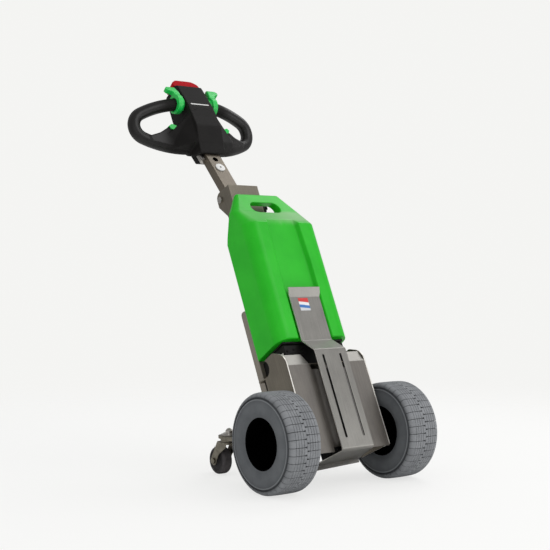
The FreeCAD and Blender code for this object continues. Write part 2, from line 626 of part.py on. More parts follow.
def castor_fork(side):
    """Swivel fork: bearing disc and crown over two pressed legs."""
    pin = V(-KINGPIN_BACK, CASTOR_HALF_TRACK, 0)
    crown_foot = CROWN_TOP - CROWN_THICK
    disc = rod(22, pin + V(0, 0, CROWN_TOP), pin + V(0, 0, CASTOR_PLATE_UNDER - REST_GAP))
    corners = [(-CROWN_HALF, -CROWN_HALF), (CROWN_HALF, -CROWN_HALF),
               (CROWN_HALF, CROWN_HALF), (-CROWN_HALF, CROWN_HALF)]
    crown = plan_prism([(pin.x + x, pin.y + y, 8) for x, y in corners], crown_foot, CROWN_TOP)
    fork = crown.fuse(disc)
    axle_x = -KINGPIN_BACK - CASTOR_TRAIL
    inner = CROWN_HALF - LEG_THICK - 1.5
    for way in (1, -1):
        leg = side_prism([(pin.x - CROWN_HALF + 2, CROWN_TOP - 1, 0), (axle_x - 12, CASTOR_RADIUS + 4, 8),
                          (axle_x - 6, CASTOR_RADIUS - 12, 9), (axle_x + 8, CASTOR_RADIUS - 11, 9),
                          (axle_x + 20, CASTOR_RADIUS + 16, 16),
                          (pin.x + CROWN_HALF - 10, crown_foot - 8, 6),
                          (pin.x + CROWN_HALF - 8, CROWN_TOP - 1, 0)],
                         pin.y + way * inner, pin.y + way * (inner + LEG_THICK))
        fork = fork.fuse(leg)
    fork = fork.cut(rod(KINGPIN_RADIUS + RUNNING_GAP, pin, pin + V(0, 0, CASTOR_PLATE_UNDER)))
    axle = V(axle_x, pin.y, CASTOR_RADIUS)
    fork = fork.cut(rod(CASTOR_AXLE_RADIUS, axle - V(0, 40, 0), axle + V(0, 40, 0)))
    return at_side(fork.removeSplitter(), side)


def castor_axle(side):
    """Axle bolt across the fork legs, with a nut outside each leg."""
    axle = V(-KINGPIN_BACK - CASTOR_TRAIL, CASTOR_HALF_TRACK, CASTOR_RADIUS)
    outer = CROWN_HALF - 1.5
    bolt = rod(CASTOR_AXLE_RADIUS, axle - V(0, outer, 0), axle + V(0, outer, 0))
    for way in (1, -1):
        bolt = bolt.fuse(rod(7.5, axle + V(0, way * outer, 0), axle + V(0, way * (outer + 4), 0)))
    return at_side(bolt.removeSplitter(), side)


def castor_wheel(side):
    """Small wheel with a crowned tread and a hub boss that spaces it in the fork."""
    half = CASTOR_WIDTH / 2
    boss = CROWN_HALF - LEG_THICK - 1.5 - 0.4
    bore = CASTOR_AXLE_RADIUS + RUNNING_GAP
    outline = [(-boss, bore, 0), (boss, bore, 0), (boss, 10, 1), (half - 2, 13, 2), (half - 2, 24, 2),
               (half, 26, 1), (half, CASTOR_RADIUS, 7), (-half, CASTOR_RADIUS, 7),
               (-half, 26, 1), (-half + 2, 24, 2), (-half + 2, 13, 2),
               (-boss, 10, 1)]
    place = V(-KINGPIN_BACK - CASTOR_TRAIL, 0, CASTOR_RADIUS)
    wheel = turned(outline, CASTOR_HALF_TRACK).translated(place)
    return at_side(wheel, side)


# ---- tiller, drawn in the tiller frame with the fold pivot at its origin ----
def tiller_tube():
    """Rectangular tube with a bored cross bush at its foot and a hole in its front."""
    half, deep = TUBE_WIDTH / 2, TUBE_DEPTH / 2
    outer = plan_prism([(-deep, -half, 3), (deep, -half, 3), (deep, half, 3), (-deep, half, 3)],
                       TUBE_FOOT, TUBE_END)
    deep, half = deep - TUBE_WALL, half - TUBE_WALL
    inner = plan_prism([(-deep, -half, 1), (deep, -half, 1), (deep, half, 1), (-deep, half, 1)],
                       TUBE_FOOT - 1, TUBE_END + 1)
    reach = CHANNEL_HALF - SHEET - REST_GAP
    bush = rod(BUSH_RADIUS, V(0, -reach, 0), V(0, reach, 0))
    bolt = rod(BOLT_RADIUS + RUNNING_GAP, V(0, -60, 0), V(0, 60, 0))
    hole = rod(TUBE_HOLE_RADIUS, V(0, 0, TUBE_HOLE_UP), V(TUBE_DEPTH, 0, TUBE_HOLE_UP))
    return outer.cut(inner).fuse(bush).cut(bolt).cut(hole).removeSplitter()


def tube_cap():
    """Flat round cap on the front of the tube."""
    face = TUBE_DEPTH / 2
    return rod(TUBE_CAP_RADIUS, V(face, 0, TUBE_CAP_UP), V(face + 2.5, 0, TUBE_CAP_UP))


def console_body():
    """Centre block of the tiller head before anything is cut from it."""
    outline = [(18, CONSOLE_FOOT, 4), (30, CONSOLE_FOOT + 28, 0), (57, CONSOLE_FOOT + 75, 30),
               (61, CONSOLE_FOOT + 108, 0), (CONSOLE_FACE, CONSOLE_FOOT + 145, 30),
               (CONSOLE_FACE, CONSOLE_TOP - 8, 6), (CONSOLE_FACE - CONSOLE_BEVEL, CONSOLE_TOP, 4),
               (CONSOLE_TOP_BACK, CONSOLE_TOP + CONSOLE_RISE, 6), (-22, RING_UP + 60, 40),
               (-39, RING_UP - 30, 40),
               (-39, CONSOLE_FOOT + 50, 8), (-14, CONSOLE_FOOT + 20, 6)]
    return side_prism(outline, -CONSOLE_HALF, CONSOLE_HALF)


def head_console():
    """Centre block of the tiller head, socketed for the tube."""
    half, deep = TUBE_WIDTH / 2, TUBE_DEPTH / 2
    socket = plan_prism([(-deep, -half, 3), (deep, -half, 3), (deep, half, 3), (-deep, half, 3)],
                        CONSOLE_FOOT - 5, TUBE_END)
    return console_body().cut(socket)


def ring_point(across, up, ahead=0.0):
    """A point of one swept-back grip loop, with across measured from its root."""
    sweep = math.radians(RING_SWEEP)
    tilt = FreeCAD.Rotation(V(0, 1, 0), TILLER_LEAN - RING_LEAN)
    local = V(ahead * math.cos(sweep) - across * math.sin(sweep),
              RING_ROOT + across * math.cos(sweep) + ahead * math.sin(sweep), up)
    return tilt.multVec(local) + V(RING_AHEAD, 0, RING_UP)


def ring_slab(corners, back, front):
    """An (across, up) outline in the plane of a grip loop, thickened from back to front."""
    face = Part.Face(Part.makePolygon([ring_point(a, b, back) for a, b in corners + corners[:1]]))
    return face.extrude(ring_point(0, 0, front) - ring_point(0, 0, back))


def grip_tube(swell=0.0):
    """The left hand loop as a bent tube of three arcs, with both ends inside the console."""
    across = (RING_HALF_WIDTH - RING_ROOT) / math.cos(math.radians(RING_SWEEP))
    end = across - RING_END_RADIUS
    high = RING_HALF_HEIGHT
    big = (end ** 2 + high ** 2 - RING_END_RADIUS ** 2) / (2 * (high - RING_END_RADIUS))
    lean = math.atan2(end, big - high)
    inset = -18
    touch = (end + RING_END_RADIUS * math.sin(lean), RING_END_RADIUS * math.cos(lean))
    middle = (big * math.sin(lean / 2), high - big + big * math.cos(lean / 2))
    runs = [
        Part.makeLine(ring_point(inset, high), ring_point(0, high)),
        Part.Arc(ring_point(0, high), ring_point(*middle), ring_point(*touch)).toShape(),
        Part.Arc(ring_point(*touch), ring_point(across, 0), ring_point(touch[0], -touch[1])).toShape(),
        Part.Arc(ring_point(touch[0], -touch[1]), ring_point(middle[0], -middle[1]),
                 ring_point(0, -high)).toShape(),
        Part.makeLine(ring_point(0, -high), ring_point(inset, -high)),
    ]
    start = ring_point(inset, high)
    section = Part.Wire(Part.makeCircle(GRIP_RADIUS + swell, start, ring_point(0, high) - start))
    return Part.Wire(runs).makePipeShell([section], True, False)


def grip_loop(side):
    """Closed hand loop, and the thick web that braces its lower run to the console."""
    low = -RING_HALF_HEIGHT
    corners = [(-18, low), (-18, WEB_TOP), (0, WEB_TOP), (35, WEB_TOP - 6), (60, WEB_TOP - 17),
               (85, WEB_TOP - 32), (116, WEB_TOP - 41), (112, low + 16), (60, low + 4), (20, low)]
    web = ring_slab(corners, -GRIP_RADIUS * 0.85, GRIP_RADIUS + 1.5)
    return at_side(grip_tube().fuse(web).cut(console_body()).removeSplitter(), side)


def thumb_lever(side):
    """Thumb control: a collar round the upper run of the grip, and a wing with a hooked tip."""
    root = ring_point(6, RING_HALF_HEIGHT)
    inner = CONSOLE_HALF
    boss = rod(LEVER_BOSS_RADIUS, V(root.x, inner, root.z), V(root.x, inner + LEVER_GAP, root.z))
    hub = rod(LEVER_HUB_RADIUS, V(root.x, inner + LEVER_GAP, root.z),
              V(root.x, inner + LEVER_HUB_WIDTH, root.z)).fuse(boss)
    top = root.z + LEVER_HEIGHT
    tip = inner + LEVER_REACH
    outer = inner + LEVER_HUB_WIDTH
    root_side = inner + LEVER_GAP
    face = [(root_side, root.z, 0), (root_side, root.z + 18, 12), (root_side + LEVER_SPLAY, top, 5),
            (tip - 9, top - 3, 7), (tip, top - 12, 5), (tip - 2, top - 23, 5),
            (tip - 18, top - 28, 12), (outer, root.z + 6, 0), (outer, root.z, 0)]
    front = CONSOLE_FACE
    profile = [(front - 17, root.z, 0), (front - 1, root.z, 0), (front + 2, root.z + 24, 40),
               (front - 1, top - 6, 5), (front - 9, top + 1, 5), (front - 15, top - 6, 4),
               (front - 12, root.z + 24, 40)]
    wing = front_prism(face, -20, 120).common(side_prism(profile, inner, tip + 5))
    return at_side(hub.fuse(wing).removeSplitter().cut(grip_tube(REST_GAP)), side)


def side_button(side):
    """Small wedge button on the front of the web, beside the console."""
    corners = [(20, WEB_TOP - 25), (27, WEB_TOP - 30), (42, WEB_TOP - 28), (54, WEB_TOP - 23),
               (59, WEB_TOP - 15), (50, WEB_TOP - 9), (36, WEB_TOP - 14)]
    return at_side(ring_slab(corners, 0, GRIP_RADIUS + 6).cut(grip_loop(1)), side)


def belly_button():
    """Domed safety button across the end of the console."""
    top = CONSOLE_TOP + CAP_HEIGHT
    face = CONSOLE_FACE - CONSOLE_BEVEL
    back = CONSOLE_TOP_BACK + CAP_SETBACK
    slope = CONSOLE_RISE / (face - CONSOLE_TOP_BACK)
    outline = [(back, CONSOLE_TOP + (face - back) * slope, 0), (face, CONSOLE_TOP, 2),
               (face - 2, top - 14, 16), (face - 16, top, 18), (back, top - 4, 10)]
    cap = side_prism(outline, -CAP_HALF, CAP_HALF)
    arch = mirrored([(CAP_HALF, CONSOLE_TOP, 0), (CAP_HALF, top - CAP_SAG, 14)])
    arch.insert(2, (0, top + 8, CAP_ARCH_RADIUS))
    return cap.common(front_prism(arch, -20, 100))


def head_clamp():
    """Black cable socket behind the tube, under the console."""
    back = -TUBE_DEPTH / 2
    outline = [(back, CONSOLE_FOOT - 8, 0), (back - 18, CONSOLE_FOOT + 8, 5),
               (back - 20, CONSOLE_FOOT + 60, 0), (back, CONSOLE_FOOT + 60, 0)]
    return side_prism(outline, -34, 20).cut(console_body())


def clamp_collar():
    """Plain steel collar against the side of the tube, under the console."""
    side = -TUBE_WIDTH / 2
    back = -TUBE_DEPTH / 2
    block = plan_prism([(back, side, 0), (6, side, 0), (6, side - 13, 6), (back, side - 13, 6)],
                       CONSOLE_FOOT - 10, CONSOLE_FOOT + 30)
    return block.cut(console_body())


def build():
    """Every piece under its node name, in the upright frame with the origin under the axle."""
    pieces = {}

    def column(name, shape):
        pieces[name] = leaned(shape, COLUMN_LEAN)

    def tiller(name, shape):
        pieces[name] = leaned(shape, TILLER_LEAN, column_point(-PIVOT_BACK, 0, PIVOT_UP))

    column("motor_hood", motor_hood())
    column("tow_plate", tow_plate())
    column("plate_spacers", plate_spacers())
    column("rear_panel", rear_panel())
    column("rear_tray", rear_tray())
    column("column_channel", column_channel())
    column("pivot_bolt", pivot_bolt())
    column("seat_shelf", seat_shelf())
    column("pack_cradle", pack_cradle())
    column("gear_case", gear_case())
    column("drive_motor", drive_motor())
    column("battery_pack", battery_pack())
    column("pack_base", pack_base())
    pieces["castor_frame"] = castor_frame()
    pieces["castor_gussets"] = castor_gussets()
    tiller("tiller_tube", tiller_tube())
    tiller("tube_cap", tube_cap())
    tiller("head_console", head_console())
    tiller("belly_button", belly_button())
    tiller("head_clamp", head_clamp())
    tiller("clamp_collar", clamp_collar())
    for word, side in SIDES.items():
        column("side_plate_" + word, side_plate(side))
        column("axle_tube_" + word, axle_tube(side))
        tiller("grip_loop_" + word, grip_loop(side))
        tiller("thumb_lever_" + word, thumb_lever(side))
        tiller("side_button_" + word, side_button(side))
        pieces["tyre_" + word] = tyre(side)
        pieces["rim_" + word] = rim(side)
        pieces["hub_" + word] = hub(side)
        pieces["castor_bolt_" + word] = castor_bolt(side)
        pieces["castor_fork_" + word] = castor_fork(side)
        pieces["castor_axle_" + word] = castor_axle(side)
        pieces["castor_wheel_" + word] = castor_wheel(side)
    return pieces


def main():
    """Centre the pieces along X and write one file for each."""
    os.makedirs("parts", exist_ok=True)
    pieces = build()
    whole = Part.makeCompound(list(pieces.values())).optimalBoundingBox(False, False)
    shift = -(whole.XMin + whole.XMax) / 2
    print("shift along X", round(shift, 4), "box", round(whole.XLength, 2), round(whole.YLength, 2),
          round(whole.ZLength, 2), "low", round(whole.ZMin, 4))
    for name, shape in pieces.items():
        placed = shape.translated(V(shift, 0, 0))
        if not placed.isValid():
            print("not valid:", name)
        print(name, len(placed.Solids), round(placed.Volume / 1000, 1))
        placed.exportStep("parts/" + name + ".step")


main()
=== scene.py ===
# %% [markdown]
# # A walk-behind electric tow tractor
# The packed CAD model is the frame of this scene. Every piece made here either refines one of its
# nodes or adds a detail to it, and rides on one of its bodies, so the tiller still folds, the battery
# still lifts out and the wheels still turn.

# %% Load the frame
import json
import math
import bpy
from mathutils import Matrix, Vector


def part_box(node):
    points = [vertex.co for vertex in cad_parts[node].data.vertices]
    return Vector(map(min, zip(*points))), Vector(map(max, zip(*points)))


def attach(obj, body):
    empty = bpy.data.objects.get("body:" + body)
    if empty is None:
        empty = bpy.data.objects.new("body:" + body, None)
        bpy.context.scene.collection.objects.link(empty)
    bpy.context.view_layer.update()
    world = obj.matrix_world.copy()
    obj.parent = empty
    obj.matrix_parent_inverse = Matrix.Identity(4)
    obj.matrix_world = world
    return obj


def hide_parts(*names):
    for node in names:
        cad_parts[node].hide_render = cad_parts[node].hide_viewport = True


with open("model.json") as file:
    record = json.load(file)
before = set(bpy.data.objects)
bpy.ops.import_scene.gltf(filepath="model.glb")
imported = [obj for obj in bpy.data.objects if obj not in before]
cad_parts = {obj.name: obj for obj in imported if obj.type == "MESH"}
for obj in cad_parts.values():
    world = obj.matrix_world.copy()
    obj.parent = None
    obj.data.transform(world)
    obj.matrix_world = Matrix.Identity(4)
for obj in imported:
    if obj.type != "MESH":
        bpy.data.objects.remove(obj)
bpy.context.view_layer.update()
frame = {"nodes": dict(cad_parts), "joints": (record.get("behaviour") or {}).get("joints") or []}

NODES = frame["nodes"]
SIDES = {"left": 1, "right": -1}  # the way each side lies along Y

# %% [markdown]
# ## Two tilted frames of reference
# On the real machine the column and the battery lean back by 25 degrees, and the tiller by 43.7. A
# screw or a label could be modelled straight away in its leaning place, but it is easier to model it
# upright and lean it afterwards. So two matrices carry a point (ahead, across, up) in millimetres from
# the column or the tiller to its place. The axle and the fold pivot are read from the frame.

# %% Places read from the frame
MM = 0.001
COLUMN_LEAN = math.radians(25.0)
TILLER_LEAN = math.radians(43.7)


def middle(node):
    """The middle of a CAD node's box."""
    low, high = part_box(node)
    return (low + high) / 2


def leaning(lean, x, z=0.0):
    """From millimetres in a frame that leans back about Y to metres, with its origin at x and z."""
    return Matrix.Translation((x, 0, z)) @ Matrix.Rotation(-lean, 4, "Y") @ Matrix.Scale(MM, 4)


AXLE = {side: middle("tyre_" + side) for side in SIDES}
PIVOT = Vector(next(j["pos_m"] for j in frame["joints"] if j["name"] == "tiller_fold"))
UPRIGHT = leaning(0.0, AXLE["left"].x)
COLUMN = leaning(COLUMN_LEAN, AXLE["left"].x)
TILLER = leaning(TILLER_LEAN, PIVOT.x, PIVOT.z)
print("axle", tuple(round(x, 4) for x in AXLE["left"]), "pivot", tuple(round(x, 4) for x in PIVOT))

# %% [markdown]
# ## Camera
# A long lens at waist height looks at the machine from its front right corner, almost level. It could
# be aimed with a Track To constraint, but a turn worked out from two angles is exact and stays put.
# It comes first, because every later choice of detail is judged through it.

# %% Camera
EYE = Vector((2152.85, -1811.67, 533.04))  # millimetres ahead of the axle, across, and up
YAW, PITCH = 2.49496385, 0.00824401        # radians
SENSOR_WIDTH, LENS = 36.0, 75.8868218      # millimetres

gaze = Vector((math.cos(PITCH) * math.cos(YAW), math.cos(PITCH) * math.sin(YAW), -math.sin(PITCH)))
camera = bpy.data.objects.new("camera", bpy.data.cameras.new("camera"))
bpy.context.scene.collection.objects.link(camera)
camera.location = UPRIGHT @ EYE
camera.rotation_mode = "QUATERNION"
camera.rotation_quaternion = gaze.to_track_quat("-Z", "Y")
camera.data.sensor_width = SENSOR_WIDTH
camera.data.lens = LENS
bpy.context.scene.camera = camera
print("camera at", tuple(round(x, 3) for x in camera.location), "lens", round(camera.data.lens, 1))

# %% [markdown]
# ## Shader arithmetic
# A material here is a small program. `Wire` wraps a socket, so that Python's own operators add Math
# nodes. The nodes could be placed and linked one by one, but a sum reads better than forty links.

# %% Wires


class Wire:
    """A socket of a shader tree that works in Python sums."""

    def __init__(self, finish, socket):
        self.finish = finish
        self.socket = socket

    def math(self, operation, *values):
        return self.finish.node("ShaderNodeMath", {"operation": operation}, dict(enumerate(values)))

    def __add__(self, other):
        return self.math("ADD", self, other)

    def __radd__(self, other):
        return self.math("ADD", other, self)

    def __sub__(self, other):
        return self.math("SUBTRACT", self, other)

    def __rsub__(self, other):
        return self.math("SUBTRACT", other, self)

    def __mul__(self, other):
        return self.math("MULTIPLY", self, other)

    def __rmul__(self, other):
        return self.math("MULTIPLY", other, self)

    def __pow__(self, other):
        return self.math("POWER", self, other)

    def __abs__(self):
        return self.math("ABSOLUTE", self)

    def sine(self):
        return self.math("SINE", self)

    def ramp(self, start, end):
        """0 below start, 1 above end, smooth between."""
        return self.finish.node("ShaderNodeMapRange", {"interpolation_type": "SMOOTHSTEP"},
                                {"Value": self, "From Min": start, "From Max": end})

    def band(self, rise, fall):
        """0 outside and 1 inside two edges, each with the places where it starts and ends."""
        return self.ramp(*rise) * (1 - self.ramp(*fall))


print("a wire can", [name for name in vars(Wire) if callable(vars(Wire)[name])])

# %% [markdown]
# ## One shader for each finish
# `Finish` builds a tree round one Principled shader. Every pattern comes from Object coordinates: a
# Mapping node in TEXTURE mode moves a centre, a turn and a cell size into the pattern, so the grain
# of a leaning sheet runs along that sheet. An unwrapped image could do the same, but it would need a
# map for every piece, and its grain would blur close by.

# %% Finishes


class Finish:
    """One procedural material round a Principled shader."""

    def __init__(self, name, constants):
        self.material = bpy.data.materials.new(name)
        self.material.use_nodes = True
        self.tree = self.material.node_tree
        self.shader = self.tree.nodes["Principled BSDF"]
        for socket, value in constants.items():
            self.shader.inputs[socket].default_value = value

    def node(self, kind, settings=None, sockets=None, output=0):
        """Any node: its settings first, then the values or links of its sockets."""
        made = self.tree.nodes.new(kind)
        for key, value in (settings or {}).items():
            setattr(made, key, value)
        for key, value in (sockets or {}).items():
            if isinstance(value, Wire):
                self.tree.links.new(value.socket, made.inputs[key])
            else:
                made.inputs[key].default_value = value
        return Wire(self, made.outputs[output])

    def place(self, cell=(1, 1, 1), turn=(0, 0, 0), centre=(0, 0, 0)):
        """Object coordinates, centred, turned and divided into cells of a size in metres."""
        coords = self.node("ShaderNodeTexCoord", output="Object")
        return self.node("ShaderNodeMapping", {"vector_type": "TEXTURE"},
                         {"Vector": coords, "Location": centre, "Rotation": turn, "Scale": cell})

    def noise(self, where, detail=2.0, roughness=0.5):
        return self.node("ShaderNodeTexNoise", None, {
            "Vector": where, "Scale": 1.0, "Detail": detail, "Roughness": roughness})

    def mix(self, share, low, high):
        """One colour into another."""
        return self.node("ShaderNodeMix", {"data_type": "RGBA"}, {0: share, 6: low, 7: high}, output=2)

    def axes(self, where):
        """The three numbers of a place."""
        return [self.node("ShaderNodeSeparateXYZ", None, {"Vector": where}, output=i) for i in range(3)]

    def feed(self, wire, socket):
        self.tree.links.new(wire.socket, self.shader.inputs[socket])

    def paint(self, colour, roughness, height, depth, strength=1.0):
        """Link what changes over the surface: the height is in units of a depth in metres."""
        self.feed(colour, "Base Color")
        self.feed(roughness, "Roughness")
        sockets = {"Height": height, "Distance": depth, "Strength": strength}
        self.feed(self.node("ShaderNodeBump", None, sockets, output="Normal"), "Normal")
        return self.material


def tone(red, green, blue):
    """A screen colour from 0 to 255 as the linear colour that a shader works with."""
    return tuple((c / 255) ** 2.2 for c in (red, green, blue)) + (1.0,)


def tilted(finish, matrix, lean):
    """The three numbers (ahead, across, up) of a place in a tilted frame, in millimetres."""
    return finish.axes(finish.place((MM, MM, MM), (0, -lean, 0), matrix.translation))


print("middle grey is", round(tone(128, 128, 128)[0], 3), "to a shader")

# %% [markdown]
# ### Steel
# The frame is stainless sheet, brushed along its length and slightly browned. A noise stretched a
# hundred and fifty times longer than it is wide gives the brush marks, a slow one gives the cloudy
# handling marks, and both move the roughness a little. An anisotropic shader could stretch the
# highlights as well, but a plain one keeps its look under any light. A laser-cut edge is smoother than
# the face of the sheet and has a painted glint, so it has a finish of its own, and the bends and
# upward faces have a painted highlight. Behind the slots of the tow plate the front of the hood has a
# painted shadow of the plate.

# %% Steel finishes
BRUSH = (0.0006, 0.0006, 0.09)       # size in metres of one brush mark
HANDLING = (0.07, 0.07, 0.11)        # of a cloud left by hands
MARKS = (0.011, 0.011, 0.028)        # of a small rub
# Where the painted shadow of the tow plate lies on the hood, across and up
PLATE_SHADOW_ACROSS = (-14, -2), (44, 52)   # millimetres in the column's frame
PLATE_SHADOW_TOP = (300, 306)


def steel(name, dark, light, lean=COLUMN_LEAN, rough=0.36, cell=BRUSH, metal=1.0, plate_shadowed=False):
    """Brushed steel between two screen colours, its marks running along a lean."""
    finish = Finish(name, {"Metallic": metal, "IOR": 2.2})
    turn = (0, -lean, 0)
    strokes = finish.noise(finish.place(cell, turn), detail=3.0, roughness=0.65)
    clouds = finish.noise(finish.place(HANDLING, turn), detail=4.0, roughness=0.6)
    rubs = finish.noise(finish.place(MARKS, turn), detail=5.0, roughness=0.7)
    share = strokes * 0.55 + clouds * 0.35 + rubs * 0.1
    colour = finish.mix(share.ramp(0.34, 0.66), tone(*dark), tone(*light))
    # Painted shadow: the hood is painted dark behind the slots of the tow plate.
    if plate_shadowed:
        across, up = tilted(finish, COLUMN, lean)[1:]
        painted_shadow = across.band(*PLATE_SHADOW_ACROSS) * (1 - up.ramp(*PLATE_SHADOW_TOP))
        colour = finish.mix(painted_shadow, colour, tone(16, 15, 14))
    rough = rough - 0.09 + clouds * 0.12 + strokes * 0.08
    return finish.paint(colour, rough, strokes, depth=0.00003, strength=0.5)


def cast(name, dark, light, rough, grain):
    """Steel with an even grain instead of brush marks."""
    return steel(name, dark, light, lean=0.0, rough=rough, cell=(grain, grain, grain))


steel_front = steel("brushed steel, front", (76, 71, 66), (106, 100, 92), rough=0.42, metal=0.45,
                    plate_shadowed=True)
steel_plate = steel("brushed steel, tow plate", (108, 106, 102), (136, 134, 129), metal=0.7)
steel_side = steel("brushed steel, sides", (104, 98, 87), (132, 125, 112), rough=0.4, metal=0.8)
steel_back = steel("brushed steel, back", (122, 115, 104), (150, 142, 129), rough=0.4, metal=0.5)
# Painted highlights: cut edges are painted nearly white for their glint, and the bends and upward faces
# pale for the light that they catch.
steel_edge_glint = steel("steel edge, painted glint", (216, 212, 204), (238, 235, 228), rough=0.34, metal=0.6)
steel_lit_face = steel("brushed steel, painted highlight", (140, 138, 133), (164, 161, 155), rough=0.4, metal=0.7)
steel_tube = steel("brushed steel, tube", (88, 80, 70), (117, 108, 94), lean=TILLER_LEAN, metal=0.75)
steel_cast = cast("zinc plated steel", (100, 96, 86), (140, 134, 122), rough=0.38, grain=0.012)
steel_bolt = cast("bright fastener steel", (150, 146, 142), (204, 200, 194), rough=0.28, grain=0.004)
print("steel finishes:", len(bpy.data.materials), "materials so far")

# %% [markdown]
# ### Moulded plastics and paint
# The levers, the button, the cap and the housings are moulded, and the rims and castings are painted.
# All are one even colour with a fine skin, so one function makes them: the grain goes in the bump,
# and a slow noise moves the colour and the roughness. A flat colour could pass from far off, but it
# looks like a toy close by.

# %% Plastic finishes
FADING = 0.09  # size in metres of a patch that has faded evenly


def plastic(name, dark, light, rough, grain, depth, specular=0.5):
    """A moulded or painted skin between two screen colours."""
    finish = Finish(name, {"Specular IOR Level": specular})
    clouds = finish.noise(finish.place((FADING, FADING, FADING)), detail=4.0, roughness=0.55)
    skin = finish.noise(finish.place((grain, grain, grain)), detail=3.0, roughness=0.6)
    colour = finish.mix(clouds.ramp(0.28, 0.72), tone(*dark), tone(*light))
    rough = rough - 0.06 + clouds * 0.07 + skin * 0.05
    return finish.paint(colour, rough, skin, depth, strength=0.7)


housing_black = plastic("black housing", (20, 19, 19), (28, 27, 26), 0.55, 0.0016, 0.0002, 0.25)
lever_green = plastic("green lever plastic", (26, 186, 74), (38, 198, 86), 0.28, 0.003, 0.00004)
button_red = plastic("red button plastic", (160, 8, 20), (178, 12, 30), 0.55, 0.003, 0.00004, 0.06)
cap_white = plastic("white cap", (210, 210, 208), (228, 228, 226), 0.4, 0.003, 0.00003)
rim_black = plastic("black rim paint", (4, 4, 4), (8, 8, 8), 0.7, 0.002, 0.00008, 0.01)
cast_black = plastic("black cast iron paint", (18, 18, 19), (28, 28, 29), 0.6, 0.0034, 0.0004, 0.2)
print("with plastics and paint:", len(bpy.data.materials), "materials so far")

# %% [markdown]
# ### Green case
# The battery case is rotationally moulded polyethylene: an even green with a faint orange-peel skin.
# It is duller on the slope below its top, and has a painted sheen there, a pale patch for the glare of
# the light from above, paler towards one side. That patch could be painted by hand, but a few ramps
# over the tilted coordinates keep it sharp and easy to move.

# %% Green case
SHEEN_FOOT, SHEEN_HEAD = (676, 700), (724, 736)  # millimetres up the column
SHEEN_FRONT, SHEEN_SIDE = (26, 42), (92, 102)    # millimetres ahead and across


def case_green():
    finish = Finish("green polyethylene", {"Specular IOR Level": 0.32})
    ahead, across, up = tilted(finish, COLUMN, COLUMN_LEAN)
    clouds = finish.noise(finish.place((0.09, 0.09, 0.09)), detail=4.0, roughness=0.55)
    skin = finish.noise(finish.place((0.0022, 0.0022, 0.0022)), detail=3.0, roughness=0.6)
    scuffs = finish.noise(finish.place((0.05, 0.012, 0.05)), detail=5.0, roughness=0.7)
    slope = (up + scuffs * 16).ramp(*SHEEN_FOOT) * (1 - up.ramp(*SHEEN_HEAD)) * ahead.ramp(*SHEEN_FRONT)
    slope = slope * (1 - abs(across).ramp(*SHEEN_SIDE))
    # Painted sheen: the slope is painted pale for the glare of light from above, more so towards
    # +across.
    painted_sheen = slope * (0.15 + across.ramp(-60, 60) * 0.4)
    colour = finish.mix(clouds.ramp(0.28, 0.72), tone(26, 176, 24), tone(38, 189, 32))
    colour = finish.mix(painted_sheen, colour, tone(165, 196, 156))
    rough = 0.3 + clouds * 0.08 + skin * 0.05 + painted_sheen * 0.15
    return finish.paint(colour, rough, skin + scuffs * 0.4, depth=0.00012, strength=0.7)


pack_green = case_green()
print(pack_green.name, "has", len(pack_green.node_tree.nodes), "nodes")

# %% [markdown]
# ### Black head
# The tiller head is black nylon with a fine leather grain, dull on the console and glossier where
# hands polish the grips. It could have one material for each, but the moulding is one piece with no
# line between them, so the gloss grows with the distance from the middle. The joint line of its cover
# is too fine for the mesh, so it is a dark groove in the bump.

# %% Black head
GRIP_START = (88, 132)                # millimetres from the middle, where the gloss grows
SEAM_UP, SEAM_CURVE = 309, 0.012      # where the joint line crosses, and how it bends
SEAM_WIDTH, SEAM_HALF, SEAM_FRONT = (0.3, 1.3), (28, 32), (50, 55)


def head_black():
    finish = Finish("black head moulding", {"Specular IOR Level": 0.26, "Coat Roughness": 0.3})
    front, across, along = tilted(finish, TILLER, TILLER_LEAN)
    aside = abs(across)
    grip = aside.ramp(*GRIP_START)
    off_seam = abs(along - SEAM_UP + across * across * SEAM_CURVE)
    seam = (1 - off_seam.ramp(*SEAM_WIDTH)) * (1 - aside.ramp(*SEAM_HALF)) * front.ramp(*SEAM_FRONT)
    clouds = finish.noise(finish.place((0.06, 0.06, 0.06)), detail=4.0, roughness=0.55)
    leather = finish.noise(finish.place((0.0012, 0.0012, 0.0012)), detail=3.0, roughness=0.6)
    colour = finish.mix(clouds.ramp(0.3, 0.7), tone(20, 18, 17), tone(28, 26, 25))
    colour = finish.mix(seam, colour, tone(6, 6, 6))
    finish.feed(grip * 0.4, "Coat Weight")
    rough = 0.6 + clouds * 0.08 + leather * 0.05 - grip * 0.2
    height = leather * (1 - grip * 0.7) - seam * 4
    return finish.paint(colour, rough, height, depth=0.00016, strength=0.7)


console_black = head_black()
print(console_black.name, "has", len(console_black.node_tree.nodes), "nodes")

# %% [markdown]
# ### Tyre rubber
# The driven tyres are grey, non-marking rubber. The side wall is smooth and a little darker, with fine
# rings left by the mould, and the tread is lighter, partly because dust fills its skin and partly as
# painted light, for the light that falls on the tread more than on the wall. The wall is painted darker
# in its hollows as painted shade, its bulge is left lighter, the rib has a painted highlight and the
# ends of the gaps between the blocks a painted shade. The pattern could be painted on an unwrapped
# wheel. But all of it depends only on the distance from the axle, so that one number drives it, and
# the finish is made once for each wheel, centred on its axle.

# %% Rubber finishes
BULGE = (0.062, 0.082), (0.09, 0.1)                # radii in metres of the bulge of the wall, kept out of its painted shade
RIB_HIGHLIGHT = (0.1006, 0.1016), (0.1034, 0.1042)           # of the rib that guards it, which has a painted highlight
NOTCH_SHADE = (0.1042, 0.1052), (0.1075, 0.111)        # of the painted shade at the ends of the gaps between the blocks
HOLLOW_SHADE_TONE, RIB_HIGHLIGHT_TONE, NOTCH_SHADE_TONE = (50, 52, 55), (138, 141, 144), (72, 74, 76)


